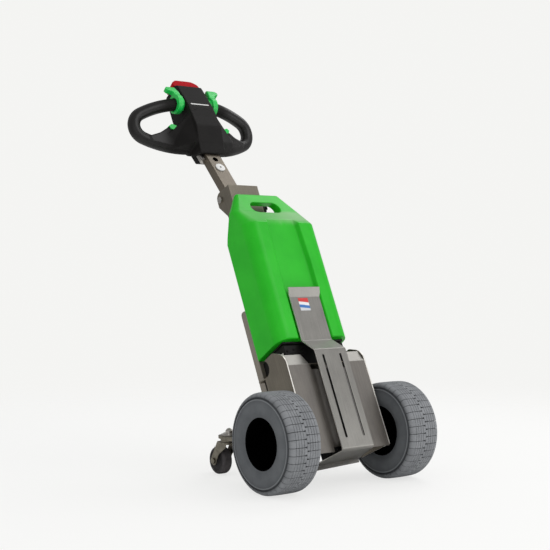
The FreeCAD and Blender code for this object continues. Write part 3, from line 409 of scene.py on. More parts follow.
def tyre_rubber(name, centre, wall, tread, start, end, ring, rib_and_shade=False):
    """Rubber with the wall's colour inside the radius start and the tread's beyond end."""
    finish = Finish(name, {"Specular IOR Level": 0.28})
    x, y, z = finish.axes(finish.place(centre=centre))
    radius = (x * x + z * z) ** 0.5
    clouds = finish.noise(finish.place((0.03, 0.03, 0.03)), detail=5.0, roughness=0.62)
    skin = finish.noise(finish.place((0.0018, 0.0018, 0.0018)), detail=3.0)
    rings = (radius * (math.tau / ring)).sine()
    # Partly painted light: the tread is lighter than the wall from dust and from the light that falls
    # on it.
    dust_and_light = (radius + clouds * 0.004).ramp(start, end)
    patches = clouds.ramp(0.3, 0.7)
    low = finish.mix(patches, tone(*wall), tone(*(c + 10 for c in wall)))
    high = finish.mix(patches, tone(*tread), tone(*(c + 14 for c in tread)))
    # Painted shade in the hollows of the wall, less of it on the bulge.
    if rib_and_shade:
        hollow_shade = finish.mix(0.3, low, tone(*HOLLOW_SHADE_TONE))
        low = finish.mix(radius.band(*BULGE) * 0.5, hollow_shade, low)
        # Painted highlight along the rib.
        low = finish.mix(radius.band(*RIB_HIGHLIGHT) * 0.6, low, tone(*RIB_HIGHLIGHT_TONE))
        # Painted shade in the gaps at the ends of the blocks.
        notch_shade = radius.band(*NOTCH_SHADE)
        high = finish.mix(notch_shade, high, tone(*NOTCH_SHADE_TONE))
        low = finish.mix(notch_shade, low, tone(*NOTCH_SHADE_TONE))
    height = skin * 0.7 + rings * 0.3 * (1 - dust_and_light)
    rough = 0.72 + clouds * 0.14
    return finish.paint(finish.mix(dust_and_light, low, high), rough, height, depth=0.00018, strength=0.8)


ROLLER = {side: middle("castor_wheel_" + side) for side in SIDES}
tyre_grey = {side: tyre_rubber("grey tyre rubber, " + side, AXLE[side], (98, 101, 104),
                               (122, 124, 127), 0.108, 0.119, 0.0032, rib_and_shade=True) for side in SIDES}
castor_rubber = {side: tyre_rubber("castor rubber, " + side, ROLLER[side], (50, 48, 49),
                                   (72, 69, 70), 0.026, 0.036, 0.002) for side in SIDES}
print("finishes:", sorted(m.name for m in bpy.data.materials if m.use_nodes))

# %% [markdown]
# ## One selected object at a time
# An operator acts on whatever is selected, and loading the frame leaves its nodes selected. Meshes
# could be edited without operators, but then the steps would look nothing like modelling by hand. So
# each helper first makes one object the only selected one. Faces are then chosen in code, by their
# place or the way they face.

# %% Selecting
print("selected by loading the frame:", len(bpy.context.selected_objects), "objects")


def nothing_selected():
    """Clear the selection before a primitive is added."""
    if bpy.context.object and bpy.context.object.mode != "OBJECT":
        bpy.ops.object.mode_set(mode="OBJECT")
    bpy.ops.object.select_all(action="DESELECT")


def alone(obj):
    """Make obj the only selected object, and the active one."""
    nothing_selected()
    obj.select_set(True)
    bpy.context.view_layer.objects.active = obj


def edit_all(obj):
    """Enter edit mode with everything selected."""
    alone(obj)
    bpy.ops.object.mode_set(mode="EDIT")
    bpy.ops.mesh.select_all(action="SELECT")


def pick_faces(obj, test):
    """Enter edit mode with exactly the faces selected whose centre and normal pass a test."""
    alone(obj)
    mesh = obj.data
    for parts in (mesh.vertices, mesh.edges, mesh.polygons):
        parts.foreach_set("select", [False] * len(parts))
    for face in mesh.polygons:
        face.select = bool(test(face.center, face.normal))
    bpy.ops.object.mode_set(mode="EDIT")
    bpy.ops.mesh.select_mode(type="FACE")


nothing_selected()
print("selected now:", len(bpy.context.selected_objects), "objects")

# %% [markdown]
# ## Finishing and placing a mesh
# A bevel or a remesh is set up as a modifier and applied at once, so the mesh that is seen is the mesh
# that is kept. A finished object sits at the origin, unturned, with its place in its mesh. It could
# keep its own location, but a pattern on Object coordinates would then slide with it. A mirrored
# matrix turns a mesh inside out, so its normals are flipped back.

# %% Finishing, placing, joining and copying


def apply_modifier(obj, kind, **settings):
    """Add a modifier, set it up and apply it."""
    alone(obj)
    modifier = obj.modifiers.new(kind.title(), kind)
    for key, value in settings.items():
        setattr(modifier, key, value)
    bpy.ops.object.modifier_apply(modifier=modifier.name)


def soften(obj, angle=35.0):
    """Smooth shading, with edges sharper than an angle kept crisp."""
    alone(obj)
    bpy.ops.object.shade_smooth_by_angle(angle=math.radians(angle))
    return obj


def carried(mesh, matrix):
    """Move a mesh by a matrix, and turn its normals back out if the matrix mirrors."""
    mesh.transform(matrix)
    if matrix.determinant() < 0:
        mesh.flip_normals()


def placed(obj, matrix):
    """Carry the mesh to its place, and leave the object at the origin, unturned and unscaled."""
    carried(obj.data, matrix @ obj.matrix_world)
    obj.matrix_world = Matrix.Identity(4)
    return obj


def copied(obj, matrix):
    """A copy of an object with its own mesh, carried by a matrix."""
    twin = obj.copy()
    twin.data = obj.data.copy()
    bpy.context.scene.collection.objects.link(twin)
    carried(twin.data, matrix)
    return twin


def joined(name, parts):
    """Several meshes as one object."""
    nothing_selected()
    for part in parts:
        part.select_set(True)
    bpy.context.view_layer.objects.active = parts[0]
    if len(parts) > 1:
        bpy.ops.object.join()
    parts[0].name = name
    return parts[0]


print("scale of the column's matrix:", tuple(round(x, 4) for x in COLUMN.to_scale()))

# %% [markdown]
# ## Mounting a piece
# Every finished piece gets its materials and the body that it rides on. A piece that stands for CAD
# nodes says so, which hides them. It could be parented to a node instead, but riding by the body's name
# survives a change of the CAD.

# %% Mounting


def mount(obj, body, finishes, replaced=()):
    """Give a finished piece its materials and the body that it rides on."""
    for finish in finishes:
        obj.data.materials.append(finish)
    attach(obj, body)
    if replaced:
        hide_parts(*replaced)
    print(f"{obj.name}: {len(obj.data.polygons)} faces on {body}")


# %% [markdown]
# ## Turned shapes
# Tyres and rims are turned or moulded round an axle. A cylinder could be cut and scaled into them, but
# the outline is what a maker draws. So a chain of points is extruded from a single vertex, closed, and
# spun about the axle.

# %% Drawing and spinning
SPECK = 1e-6  # metres, under which two points are one


def drawn(name, points):
    """A chain of edges through some points, left in edit mode with everything selected."""
    nothing_selected()
    bpy.ops.mesh.primitive_plane_add(size=MM)
    obj = bpy.context.object
    obj.name = name
    bpy.ops.object.mode_set(mode="EDIT")
    bpy.ops.mesh.select_mode(type="VERT")
    bpy.ops.mesh.select_all(action="SELECT")
    bpy.ops.mesh.merge(type="CENTER")
    bpy.ops.transform.translate(value=points[0])
    for start, end in zip(points, points[1:]):
        step = {"value": Vector(end) - Vector(start)}
        bpy.ops.mesh.extrude_vertices_move(TRANSFORM_OT_translate=step)
    bpy.ops.mesh.select_all(action="SELECT")
    return obj


def spun(name, outline, steps, turn=math.tau):
    """A closed outline of (across, radius) points in millimetres, spun about Y."""
    obj = drawn(name, [(0, y * MM, r * MM) for y, r in outline + outline[:1]])
    bpy.ops.mesh.remove_doubles(threshold=SPECK)
    bpy.ops.mesh.spin(steps=steps, angle=turn, center=(0, 0, 0), axis=(0, 1, 0))
    bpy.ops.mesh.select_all(action="SELECT")
    bpy.ops.mesh.remove_doubles(threshold=SPECK)
    if turn < math.tau:
        bpy.ops.mesh.fill_holes(sides=0)
        bpy.ops.mesh.select_all(action="SELECT")
    bpy.ops.mesh.normals_make_consistent(inside=False)
    bpy.ops.object.mode_set(mode="OBJECT")
    return obj


def ring_of(obj, count, start):
    """Copies of an object turned about the Y axis, joined."""
    turns = [start + i * math.tau / count for i in range(count)]
    parts = [copied(obj, Matrix.Rotation(turn, 4, "Y")) for turn in turns]
    bpy.data.objects.remove(obj)
    return joined("ring", parts)


print("points nearer than", SPECK, "m become one")

# %% [markdown]
# ## Tyres
# A wide turf tyre. Its carcass is an outline spun about the axle: bead, bulging side wall, a thin rib
# that guards the wall, and a groove before the tread. The tread is two rows of broad blocks, set half
# a pitch apart, that roll over the shoulders, each cut by four fine grooves round the tyre. The
# grooves could be bumps in the finish, but then the tyre's outline would be smooth. So one block is
# spun through its own small angle, which gives its top the tyre's curve, and is copied round.

# %% Outlines of the tyre
WALL = [(39.0, 60.2), (42.4, 61.2), (43.6, 64.6), (45.6, 70.5), (46.6, 78.0), (46.7, 88.0),
        (46.0, 97.5), (45.9, 101.4), (46.9, 101.9), (46.9, 103.3), (45.8, 104.2), (43.2, 105.6),
        (42.2, 108.6), (39.6, 111.4), (34.0, 113.4), (18.0, 114.8)]
TREAD_RADIUS, CROWN = 120.0, 0.0005
SIPES = (31.0, 23.5, 16.0, 8.5)                       # millimetres across, of the four grooves
SIPE_MOUTH, SIPE_FLOOR, SIPE_DEPTH = 0.6, 0.35, 1.4   # half widths and depth
BLOCK = [(44.9, 107.6), (45.2, 110.0), (44.0, 113.4), (41.2, 116.7), (36.6, 118.9)]
for y in SIPES:
    top = TREAD_RADIUS - CROWN * y * y
    BLOCK += [(y + SIPE_MOUTH, top), (y + SIPE_FLOOR, top - SIPE_DEPTH),
              (y - SIPE_FLOOR, top - SIPE_DEPTH), (y - SIPE_MOUTH, top)]
BLOCK += [(0.05, 120.0), (0.05, 113.2), (18.0, 113.0), (34.0, 111.6), (39.0, 109.2)]
print("points in half the wall:", len(WALL), "and in a block:", len(BLOCK))

# %% Tyres
BLOCKS = 41
BLOCK_SHARE = 0.93   # of the pitch
INNER_SHARE = 0.8    # of a block's length, at the middle of the tread


def mirrored(outline):
    """A symmetric closed outline from its +across half."""
    return outline + [(-y, r) for y, r in reversed(outline)]


def tread_row(way):
    """The blocks on one half of the tread."""
    pitch = math.tau / BLOCKS
    lug = spun("lug", [(y * way, r) for y, r in BLOCK], steps=3, turn=pitch * BLOCK_SHARE)
    pick_faces(lug, lambda centre, normal: centre.y * way < 2 * MM and normal.y * way < -0.6)
    bpy.ops.transform.resize(value=(INNER_SHARE, 1, 1))
    bpy.ops.object.mode_set(mode="OBJECT")
    apply_modifier(lug, "BEVEL", width=0.3 * MM, segments=1, limit_method="ANGLE",
                   angle_limit=math.radians(60), use_clamp_overlap=True)
    return ring_of(lug, BLOCKS, start=pitch / 2 * (way > 0))


for side in SIDES:
    carcass = spun("tyre", mirrored(WALL), steps=126)
    whole = joined("turf_tyre_" + side, [carcass] + [tread_row(way) for way in (1, -1)])
    soften(placed(whole, Matrix.Translation(AXLE[side])), 38)
    mount(whole, "wheel_" + side, [tyre_grey[side]], ["tyre_" + side])

# %% [markdown]
# ## Bolts
# Only the bright heads of the wheel bolts catch the light inside the dark dish, so they matter more
# than their size suggests. A head could be a plain six-sided cylinder, but real ones have a chamfered
# crown and a washer, so its top face is inset and raised, and inset again and sunk.

# %% Bolts
WASHER_THICK = 1.4


def stood(vertices, radius, height, foot=0.0):
    """A cylinder on the floor of its own frame or above it, with its top face selected."""
    nothing_selected()
    bpy.ops.mesh.primitive_cylinder_add(vertices=vertices, radius=radius, depth=height,
                                        location=(0, 0, foot + height / 2))
    obj = bpy.context.object
    bpy.ops.object.transform_apply(location=True, rotation=False, scale=False)
    pick_faces(obj, lambda centre, normal: normal.z > 0.9)
    return obj


def hex_bolt(radius, height, washer):
    """A hexagon head on a washer of a radius."""
    head = stood(6, radius, height, foot=WASHER_THICK)
    bpy.ops.mesh.inset(thickness=radius * 0.14)
    bpy.ops.transform.translate(value=(0, 0, height * 0.12))
    bpy.ops.mesh.inset(thickness=radius * 0.3)
    bpy.ops.transform.translate(value=(0, 0, -height * 0.06))
    bpy.ops.object.mode_set(mode="OBJECT")
    ring = stood(32, washer, WASHER_THICK)
    bpy.ops.mesh.inset(thickness=0.35)
    bpy.ops.transform.translate(value=(0, 0, 0.3))
    bpy.ops.object.mode_set(mode="OBJECT")
    return joined("bolt", [head, ring])


def facing(across, ahead, up, direction, spin=0.0):
    """A matrix, in millimetres, that stands a fastener at a place with its head towards a direction."""
    turn = Vector(direction).to_track_quat("Z", "Y").to_matrix().to_4x4()
    return Matrix.Translation((ahead, across, up)) @ turn @ Matrix.Rotation(spin, 4, "Z")


BOLT = {"radius": 4.2, "height": 3.6, "washer": 6.2}
print("wheel bolt, millimetres:", BOLT)

# %% [markdown]
# ## Rims
# A pressed black rim: rolled lips, a barrel and a dished disc set towards the machine. Five bolts hold
# the disc to the hub, with nuts behind them. The disc could be a cylinder with a hole, but a pressing
# bends everywhere, so the whole wheel is one closed outline, spun.

# %% Rims
RIM = [(41.8, 63.2), (42.6, 62.4), (42.6, 60.9), (41.2, 59.5), (38.0, 58.9), (30.0, 57.4),
       (8.0, 56.6), (-14.0, 56.4), (-20.0, 54.0), (-22.6, 48.0), (-23.2, 40.0), (-21.8, 34.0),
       (-21.6, 29.9), (-26.9, 29.9), (-27.1, 36.0), (-28.4, 44.0), (-28.0, 52.0), (-31.0, 57.0),
       (-38.0, 58.9), (-41.2, 59.5), (-42.6, 60.9), (-42.6, 62.4), (-41.8, 63.2), (-40.2, 63.0),
       (-39.2, 61.4), (-38.6, 59.9), (38.6, 59.9), (39.2, 61.4), (40.2, 63.0)]
BOLT_COUNT, BOLT_CIRCLE = 5, 23.6
FIRST_BOLT = math.radians(73.6)
BOLT_ROWS = (("rim_nuts_", -21.4, 1, rim_black), ("rim_bolts_", -27.3, -1, steel_bolt))


def bolt_ring(side, name, across, face):
    """The five heads on one face of the disc."""
    way = SIDES[side]
    hub = Matrix.Translation(AXLE[side]) @ Matrix.Scale(MM, 4)
    heads = []
    for i in range(BOLT_COUNT):
        turn = FIRST_BOLT + i * math.tau / BOLT_COUNT
        ahead, up = BOLT_CIRCLE * math.cos(turn), BOLT_CIRCLE * math.sin(turn)
        at = facing(across * way, ahead, up, (0, face * way, 0), spin=i * 0.4)
        heads.append(placed(hex_bolt(**BOLT), hub @ at))
    return soften(joined(name + side, heads))


for side, way in SIDES.items():
    wheel = spun("pressed_rim_" + side, [(y * way, r) for y, r in RIM], steps=96)
    soften(placed(wheel, Matrix.Translation(AXLE[side])), 40)
    mount(wheel, "wheel_" + side, [rim_black], ["rim_" + side])
    for name, across, face, finish in BOLT_ROWS:
        mount(bolt_ring(side, name, across, face), "wheel_" + side, [finish])

# %% [markdown]
# ## Pieces refined from CAD
# Sheet metal and moulded cases already have the right shape in CAD, but their edges are knife sharp.
# They could be modelled again from nothing, but then they might miss the CAD's size. So `refined` takes
# a copy of a node, merges its loose triangles back into clean faces and breaks its edges with a bevel.

# %% Refining
WELD = 2e-6                    # metres, under which the corners of two triangles are one
FLAT = math.radians(0.6)       # faces that differ less become one


def cad_copy(*nodes, name):
    """A copy of some CAD nodes as one clean mesh, with the loose triangles merged."""
    copies = []
    for node in nodes:
        twin = bpy.data.objects.new(name, NODES[node].data.copy())
        bpy.context.scene.collection.objects.link(twin)
        copies.append(twin)
    copy = joined(name, copies)
    copy.data.materials.clear()
    alone(copy)
    bpy.ops.mesh.customdata_custom_splitnormals_clear()
    edit_all(copy)
    bpy.ops.mesh.remove_doubles(threshold=WELD)
    bpy.ops.object.mode_set(mode="OBJECT")
    return copy


def refined(*nodes, name, bevel, segments=2, angle=32.0, rim=None):
    """CAD nodes with broken edges. rim numbers a face's finish from its centre and normal."""
    copy = cad_copy(*nodes, name=name)
    edit_all(copy)
    bpy.ops.mesh.dissolve_limited(angle_limit=FLAT)
    bpy.ops.object.mode_set(mode="OBJECT")
    if rim:
        for face in copy.data.polygons:
            face.material_index = int(rim(face.center, face.normal))
    apply_modifier(copy, "BEVEL", width=bevel * MM, segments=segments, limit_method="ANGLE",
                   angle_limit=math.radians(angle), use_clamp_overlap=False,
                   material=1 if rim else -1)
    soften(copy)
    apply_modifier(copy, "WEIGHTED_NORMAL", keep_sharp=True)
    return copy


print("hood in CAD:", len(NODES["motor_hood"].data.polygons), "loose triangles")

# %% [markdown]
# ## Sheet metal
# The side plates, hood, tow plate, tray and column channel keep their CAD shape. Their edges could be
# rounded like a casting's, but a cut sheet is only deburred, so a bevel of a few tenths of a
# millimetre is enough: it draws the thin line along every real sheet edge, painted bright as a painted
# glint. The faces across the thickness get that painted glint too, the bends and upward faces a
# painted highlight, and the walls of the two slots a painted shade.

# %% Sheet metal
AHEAD = Vector((math.cos(COLUMN_LEAN), 0, math.sin(COLUMN_LEAN)))  # across the leaning sheets
SLOTS_HALF, TRAY_HALF, CHANNEL_HALF = 0.045, 0.1, 0.044           # metres from the middle


def plate_faces(centre, normal):
    """The tow plate: painted highlight on faces folded flat to the front 2, faces 0, painted glint on
    outer edges 1, painted shade on slot walls 3.
    """
    if normal.x > 0.98:
        return 2
    if abs(normal.y) < 0.6:
        return 0
    return 1 if abs(centre.y) > SLOTS_HALF else 3


# The edges of these sheets take the painted glint.
for side in SIDES:
    skin = refined("side_plate_" + side, name="side_skin_" + side, bevel=0.45,
                   rim=lambda centre, normal: abs(normal.y) < 0.5)
    mount(skin, "chassis", [steel_side, steel_edge_glint], ["side_plate_" + side])

# The hood's upward faces take the painted highlight.
skin = refined("motor_hood", name="hood_skin", bevel=0.4,
               rim=lambda centre, normal: 1 if abs(normal.y) > 0.6 else 2 if normal.z > 0.6 else 0)
mount(skin, "chassis", [steel_front, steel_edge_glint, steel_lit_face], ["motor_hood"])
# The tow plate's slot walls are painted black as painted shade.
skin = refined("tow_plate", name="tow_skin", bevel=0.8, rim=plate_faces)
finishes = [steel_plate, steel_edge_glint, steel_lit_face, cast_black]
mount(skin, "chassis", finishes, ["tow_plate"])
skin = refined("rear_tray", name="tray_skin", bevel=0.4,
               rim=lambda centre, normal: abs(normal.dot(AHEAD)) > 0.9 and abs(centre.y) > TRAY_HALF)
mount(skin, "chassis", [steel_back, steel_edge_glint], ["rear_tray"])
skin = refined("column_channel", name="channel_skin", bevel=0.4,
               rim=lambda centre, normal: normal.dot(AHEAD) < -0.9 and abs(centre.y) > CHANNEL_HALF)
mount(skin, "chassis", [steel_side, steel_edge_glint], ["column_channel"])
skin = refined("castor_frame", name="castor_arm_skin", bevel=0.8)
mount(skin, "chassis", [steel_cast], ["castor_frame"])

# %% [markdown]
# ## Battery case
# A rotational moulding has no sharp edge anywhere: every corner is rolled over by two or three
# millimetres, which is what catches the light along the folds of the top. A subdivision surface would
# round it too, but it would also swell the flat faces, so this is a wide bevel.

# %% Battery case
shell = refined("battery_pack", name="pack_shell", bevel=2.4, segments=3, angle=20)
mount(shell, "battery", [pack_green], ["battery_pack"])

# %% [markdown]
# ## Tiller head
# The console and its two loops are one thick moulding, with a flare on each side that runs down to the
# web. They could be bevelled, but the bevels would stop where two solids cross. So the nodes and the
# flares are remeshed together to fine voxels and smoothed, which rolls every edge over and leaves
# small fillets where they meet, as the mould does. The levers and buttons are separate pieces.

# %% Melting


def hull(name, points):
    """The convex solid round some points."""
    obj = drawn(name, points)
    bpy.ops.mesh.convex_hull()
    bpy.ops.mesh.select_all(action="SELECT")
    bpy.ops.mesh.normals_make_consistent(inside=False)
    bpy.ops.object.mode_set(mode="OBJECT")
    return obj


def melted(*nodes, name, voxel, passes, extra=()):
    """CAD nodes and extra shapes remeshed to small voxels and smoothed, like one moulding."""
    copy = joined(name, [cad_copy(*nodes, name=name)] + list(extra))
    apply_modifier(copy, "REMESH", mode="VOXEL", voxel_size=voxel * MM)
    apply_modifier(copy, "SMOOTH", factor=0.5, iterations=passes)
    return soften(copy, 60.0)


FLARE = [(60, 41, 294), (34, 41, 204), (-4, 118, 250), (-20, 104, 224), (-12, 41, 285),
         (-12, 41, 212)]  # corners (front, across, along) in the tiller's frame
flares = [placed(hull("flare", [(n, y * way, s) for n, y, s in FLARE]), TILLER) for way in (1, -1)]
print("flare:", len(flares[0].data.polygons), "faces each")

# %% Tiller head
HEAD_NODES = ["head_console", "grip_loop_left", "grip_loop_right"]
head = melted(*HEAD_NODES, name="head_shell", voxel=1.6, passes=14, extra=flares)
mount(head, "tiller", [console_black], HEAD_NODES)
for side in SIDES:
    lever = melted("thumb_lever_" + side, name="thumb_control_" + side, voxel=0.8, passes=10)
    mount(lever, "tiller", [lever_green], ["thumb_lever_" + side])
    button = melted("side_button_" + side, name="web_button_" + side, voxel=0.7, passes=4)
    mount(button, "tiller", [lever_green], ["side_button_" + side])
dome = melted("belly_button", name="safety_button", voxel=1.0, passes=8)
mount(dome, "tiller", [button_red], ["belly_button"])

# %% [markdown]
# ## Small hardware
# Sockets, tubes and the turned and bent pieces of the running gear get a fine bevel each, with the
# finish of their metal or rubber. Each could have its own cell, but they differ only in their names
# and numbers, so a list holds those. The solids hidden in the motor bay would gain nothing from a
# bevel: they stay as CAD nodes and only get a better material.

# %% Small hardware
SMALL = [
    ("head_clamp", "cable_socket", "tiller", "console_black", console_black, 1.2),
    ("clamp_collar", "steel_collar", "tiller", "bright_steel", steel_bolt, 0.5),
    ("tiller_tube", "tube_skin", "tiller", "tube_steel", steel_tube, 0.3),
    ("plate_spacers", None, "chassis", "bright_steel", steel_bolt, 0.6),
    ("pivot_bolt", None, "chassis", "bright_steel", steel_bolt, 0.8),
    ("pack_cradle", None, "chassis", "housing_black", housing_black, 1.6),
    ("castor_gussets", None, "chassis", "castor_steel", steel_side, 0.6),
    ("pack_base", None, "battery", "housing_black", housing_black, 1.0),
]
for side in SIDES:
    SMALL += [
        ("hub_" + side, None, "wheel_" + side, "rim_black", rim_black, 1.0),
        ("castor_bolt_" + side, None, "chassis", "bright_steel", steel_bolt, 0.8),
        ("castor_fork_" + side, None, "castor_" + side, "castor_steel", steel_cast, 0.7),
        ("castor_axle_" + side, None, "castor_" + side, "castor_steel", steel_cast, 0.7),
        ("castor_wheel_" + side, None, "castor_roller_" + side, "castor_rubber",
         castor_rubber[side], 0.9),
    ]
for node, name, body, slot, finish, bevel in SMALL:
    mount(refined(node, name=name or node + "_fine", bevel=bevel), body, [finish], [node])

# %% Hidden solids
HIDDEN = {"rear_panel": steel_side, "seat_shelf": steel_side, "gear_case": cast_black,
          "drive_motor": cast_black, "axle_tube_left": cast_black, "axle_tube_right": cast_black}
for node, finish in HIDDEN.items():
    for place in NODES[node].material_slots:
        place.material = finish
print("kept as CAD:", sorted(HIDDEN))

# %% [markdown]
# ## Details on the column
# A striped label sits low on the strap, the black cradle has slanted ribs, and screws hold the seat
# under the battery. Two bent guide tabs lead the battery home between the side plates, and a cable
# clip beside the channel shows through the hand hole. They could be drawn as bumps in a finish, but
# each one throws a small shadow, so each is a bevelled block or a screw, modelled upright and leaned.

# %% Blocks and screws


def block(name, low, high, bevel, segments=2):
    """A block between two corners in millimetres, with broken edges."""
    nothing_selected()
    low, high = Vector(low) * MM, Vector(high) * MM
    bpy.ops.mesh.primitive_cube_add(size=1.0, location=(low + high) / 2)
    obj = bpy.context.object
    obj.name = name
    obj.scale = [abs(side) for side in high - low]  # a negative one turns the block inside out
    bpy.ops.object.transform_apply(location=True, rotation=False, scale=True)
    edit_all(obj)
    bpy.ops.mesh.bevel(offset=bevel * MM, segments=segments, affect="EDGES")
    bpy.ops.object.mode_set(mode="OBJECT")
    obj.data.transform(Matrix.Scale(1 / MM, 4))
    return obj


def pan_screw(radius, height, drive=0.3):
    """A low round head with a recess, its wall a share of the radius inside the crown."""
    head = stood(24, radius, height)
    bpy.ops.mesh.inset(thickness=radius * 0.22)
    bpy.ops.transform.translate(value=(0, 0, height * 0.3))
    bpy.ops.mesh.inset(thickness=radius * drive)
    bpy.ops.mesh.extrude_region_move(TRANSFORM_OT_translate={"value": (0, 0, -height * 0.6)})
    bpy.ops.object.mode_set(mode="OBJECT")
    return head


STRAP_FACE = 80.0            # millimetres ahead in the column's frame
LABEL_AT = (-8.0, 444.0)     # across and up
LABEL_HALF = (15.5, 17.0)
print("label, millimetres:", [2 * x for x in LABEL_HALF])

# %% Striped label
STRIPES = ((-9.5, (66, 118, 186)), (-1.5, (232, 232, 232)), (6.5, (206, 62, 60)))  # foot, colour


def striped_label():
    """Plain stripes across a sticker: red over white over blue over grey."""
    finish = Finish("striped label", {"Specular IOR Level": 0.3})
    middle_of_label = COLUMN @ Vector((STRAP_FACE, *LABEL_AT))
    cells = finish.place((MM, MM, MM), (0, -COLUMN_LEAN, 0), middle_of_label)
    across, up = finish.axes(cells)[1:]
    wave = finish.noise(finish.place((0.02, 0.02, 0.02)))
    height = up + across * 0.12 + wave * 2
    colour = tone(206, 208, 210)
    for foot, stripe in STRIPES:
        colour = finish.mix(height.ramp(foot, foot + 1), colour, tone(*stripe))
    return finish.paint(colour, 0.4 + wave * 0.1, wave, depth=0.00002)


(y, u), (half, tall) = LABEL_AT, LABEL_HALF
label = block("strap_label", (STRAP_FACE - 0.2, y - half, u - tall),
              (STRAP_FACE + 0.3, y + half, u + tall), bevel=0.12, segments=1)
mount(placed(label, COLUMN), "chassis", [striped_label()])

# %% Ribs and screws of the cradle
CRADLE_FRONT = 62  # millimetres ahead
RIB_ENDS = (((80, 322), (31, 340)), ((92, 300), (36, 320)), ((86, 311), (33, 330)))  # across, up
SCREWS = ((-66, 332), (60, 332), (-86, 329), (82, 329))                              # across, up

ribs = []
for way in (1, -1):
    for (y0, u0), (y1, u1) in RIB_ENDS:
        rib = block("rib", (-0.8, 0, -1.6), (1.6, math.hypot(y1 - y0, u1 - u0), 1.6), bevel=0.7)
        turn = Matrix.Rotation(math.atan2(u1 - u0, (y1 - y0) * way), 4, "X")
        ribs.append(placed(rib, COLUMN @ Matrix.Translation((CRADLE_FRONT, y0 * way, u0)) @ turn))
mount(soften(joined("cradle_ribs", ribs)), "chassis", [housing_black])

screws = [placed(pan_screw(3.2, 1.8), COLUMN @ facing(y, CRADLE_FRONT, u, (1, 0, 0)))
          for y, u in SCREWS]
mount(soften(joined("seat_screws", screws)), "chassis", [housing_black])

# %% Guide tabs and cable clip
TAB_BACK, TAB_FRONT = 14, 56              # millimetres ahead
TAB_AT, TAB_HALF, FOOT_END = 96, 1, 106   # across
TAB_FOOT, TAB_TOP = 306, 326              # up

tabs = []
for way in (1, -1):
    y = TAB_AT * way
    tab = block("tab", (TAB_BACK, y - TAB_HALF, TAB_FOOT), (TAB_FRONT, y + TAB_HALF, TAB_TOP), 0.5)
    foot = block("foot", (TAB_BACK, y - TAB_HALF, TAB_FOOT - 2),
                 (TAB_FRONT, FOOT_END * way, TAB_FOOT), 0.4)
    tabs += [placed(tab, COLUMN), placed(foot, COLUMN)]
# The tabs take the painted glint of the cut edges all over.
mount(soften(joined("guide_tabs", tabs)), "chassis", [steel_edge_glint])

clip = block("cable_clip", (-50, 48.0, 766), (-38, 58, 790), bevel=2.0, segments=3)
hook = block("hook", (-47, 56, 772), (-36, 61, 784), bevel=1.6, segments=3)
clip = joined("cable_clip", [placed(clip, COLUMN), placed(hook, COLUMN)])
mount(soften(clip), "chassis", [housing_black])

# %% [markdown]
# ## Details on the tiller
# The round white cap has a dished middle, whose floor is painted black as painted shade, and a plain
# pale stripe crosses the console above the joint line of its cover. The stripe could be painted in the
# finish of the head, but printed ink stands a little proud and has a clean edge, so it is a very thin
# block.

# %% Details on the tiller
CAP_SHADE_RADIUS = 3.5                 # millimetres, the radius of the painted shade in its middle
CAP_AHEAD, CAP_UP = 12.5, 119  # its seat on the tube

cap = pan_screw(14.0, 2.4, drive=0.55)
cap.name = "white_cap"
# Painted shade: the floor of the cap's dished middle is painted black.
for face in cap.data.polygons:
    inside = math.hypot(face.center.x, face.center.y) < CAP_SHADE_RADIUS
    face.material_index = int(inside and face.normal.z > 0.9)
placed(cap, TILLER @ facing(0, CAP_AHEAD, CAP_UP, (1, 0, 0)))
mount(soften(cap), "tiller", [cap_white, housing_black], ["tube_cap"])
stripe = block("console_stripe", (66.6, -30, 321.8), (67.3, 30, 326.2), bevel=0.3)
mount(placed(stripe, TILLER), "tiller", [cap_white])

# %% [markdown]
# ## Studio
# A pale world lights the machine from all round, as a tent of white cloth does. What the camera and
# the metal see of the world is set apart from the light that it gives. The backdrop could be made
# pale with more light, but the pale paint of the object would then burn out.

# %% World
BACKDROP = tone(244, 244, 242)
WHITE = (1, 1, 1, 1)
LEVELS = {"fill": (WHITE, 0.68), "mirror": (WHITE, 0.42), "seen": (BACKDROP, 1.0)}
SEEN_BY = (("Is Glossy Ray", "mirror"), ("Is Transmission Ray", "seen"), ("Is Camera Ray", "seen"))

world = bpy.data.worlds.new("studio")
bpy.context.scene.world = world
world.use_nodes = True
tree = world.node_tree
tree.nodes.clear()
out = tree.nodes.new("ShaderNodeOutputWorld")
path = tree.nodes.new("ShaderNodeLightPath")
levels = {}
for name, (colour, strength) in LEVELS.items():
    levels[name] = tree.nodes.new("ShaderNodeBackground")
    levels[name].inputs["Color"].default_value = colour
    levels[name].inputs["Strength"].default_value = strength
last = levels["fill"]
for ray, name in SEEN_BY:
    pick = tree.nodes.new("ShaderNodeMixShader")
    tree.links.new(path.outputs[ray], pick.inputs["Fac"])
    tree.links.new(last.outputs[0], pick.inputs[1])
    tree.links.new(levels[name].outputs[0], pick.inputs[2])
    last = pick
tree.links.new(last.outputs[0], out.inputs["Surface"])
print("world:", {name: strength for name, (colour, strength) in LEVELS.items()})

# %% [markdown]
# Four square lamps shape it: a large soft one in front and to the left, one high on the left, and two
# weak ones that open the shade low on the left and on the right. One strong lamp would do for the
# front, but it would leave the sides black.

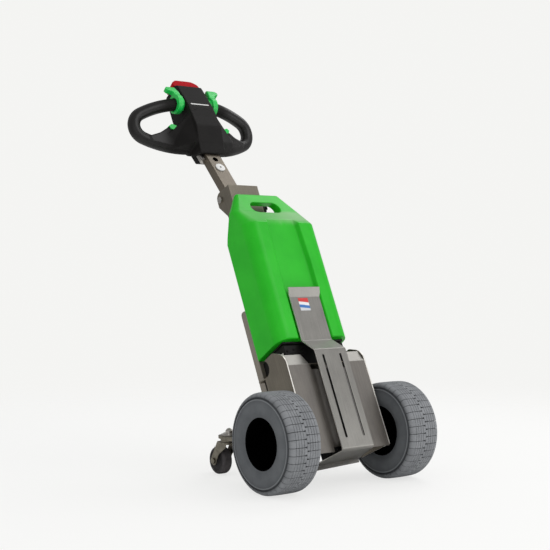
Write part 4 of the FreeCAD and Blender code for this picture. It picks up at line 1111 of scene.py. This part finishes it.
# %% Lamps
LAMPS = {  # place, aim, size and watts
    "key": ((3.0, 1.2, 2.9), (0, 0, 0.45), 2.6, 38),
    "left": ((-0.5, 2.4, 3.2), (0, 0, 0.45), 1.8, 24),
    "low": ((2.0, 1.9, 0.6), (0.3, 0.1, 0.15), 1.2, 8),
    "right": ((2.4, -1.9, 1.3), (0.2, 0, 0.3), 2.0, 6),
}
for name, (place, aim, size, power) in LAMPS.items():
    data = bpy.data.lights.new(name, "AREA")
    data.shape = "SQUARE"
    data.size = size
    data.energy = power
    lamp = bpy.data.objects.new(name, data)
    bpy.context.scene.collection.objects.link(lamp)
    lamp.location = place
    lamp.rotation_mode = "QUATERNION"
    lamp.rotation_quaternion = (Vector(aim) - Vector(place)).to_track_quat("-Z", "Y")

# %% [markdown]
# The floor is a pale disc that fades into the world of the same colour, so no horizon shows. A curved
# backdrop would do that too, but it would stand behind the machine in other views. The camera sees a
# share of glow mixed with the lit floor, which keeps a light shadow.

# %% Floor
FLOOR_RADIUS, FADE = 6.0, (0.9, 2.6)  # metres from the middle
GLOW_SHARE = 0.7

nothing_selected()
bpy.ops.mesh.primitive_circle_add(vertices=96, radius=FLOOR_RADIUS, fill_type="NGON")
floor = bpy.context.object
floor.name = "floor"
finish = Finish("pale floor", {"Roughness": 0.9, "Specular IOR Level": 0.1,
                               "Base Color": (0.88, 0.88, 0.872, 1)})
x, y, z = finish.axes(finish.place())
fade = ((x * x + y * y) ** 0.5).ramp(*FADE)
camera_ray = finish.node("ShaderNodeLightPath", output="Is Camera Ray")
glow = finish.node("ShaderNodeEmission", None, {"Color": (1.0, 1.0, 0.99, 1.0), "Strength": 1.0})
plain = Wire(finish, finish.shader.outputs[0])
clear = finish.node("ShaderNodeBsdfTransparent")
lit = finish.node("ShaderNodeMixShader", None, {"Fac": GLOW_SHARE, 1: plain, 2: glow})
near = finish.node("ShaderNodeMixShader", None, {"Fac": camera_ray, 1: plain, 2: lit})
ground = finish.node("ShaderNodeMixShader", None, {"Fac": fade, 1: near, 2: clear})
finish.tree.links.new(ground.socket, finish.tree.nodes["Material Output"].inputs["Surface"])
floor.data.materials.append(finish.material)

bpy.context.scene.view_settings.view_transform = "Standard"
print("floor:", FLOOR_RADIUS, "m round, faded out at", FADE[1], "m")
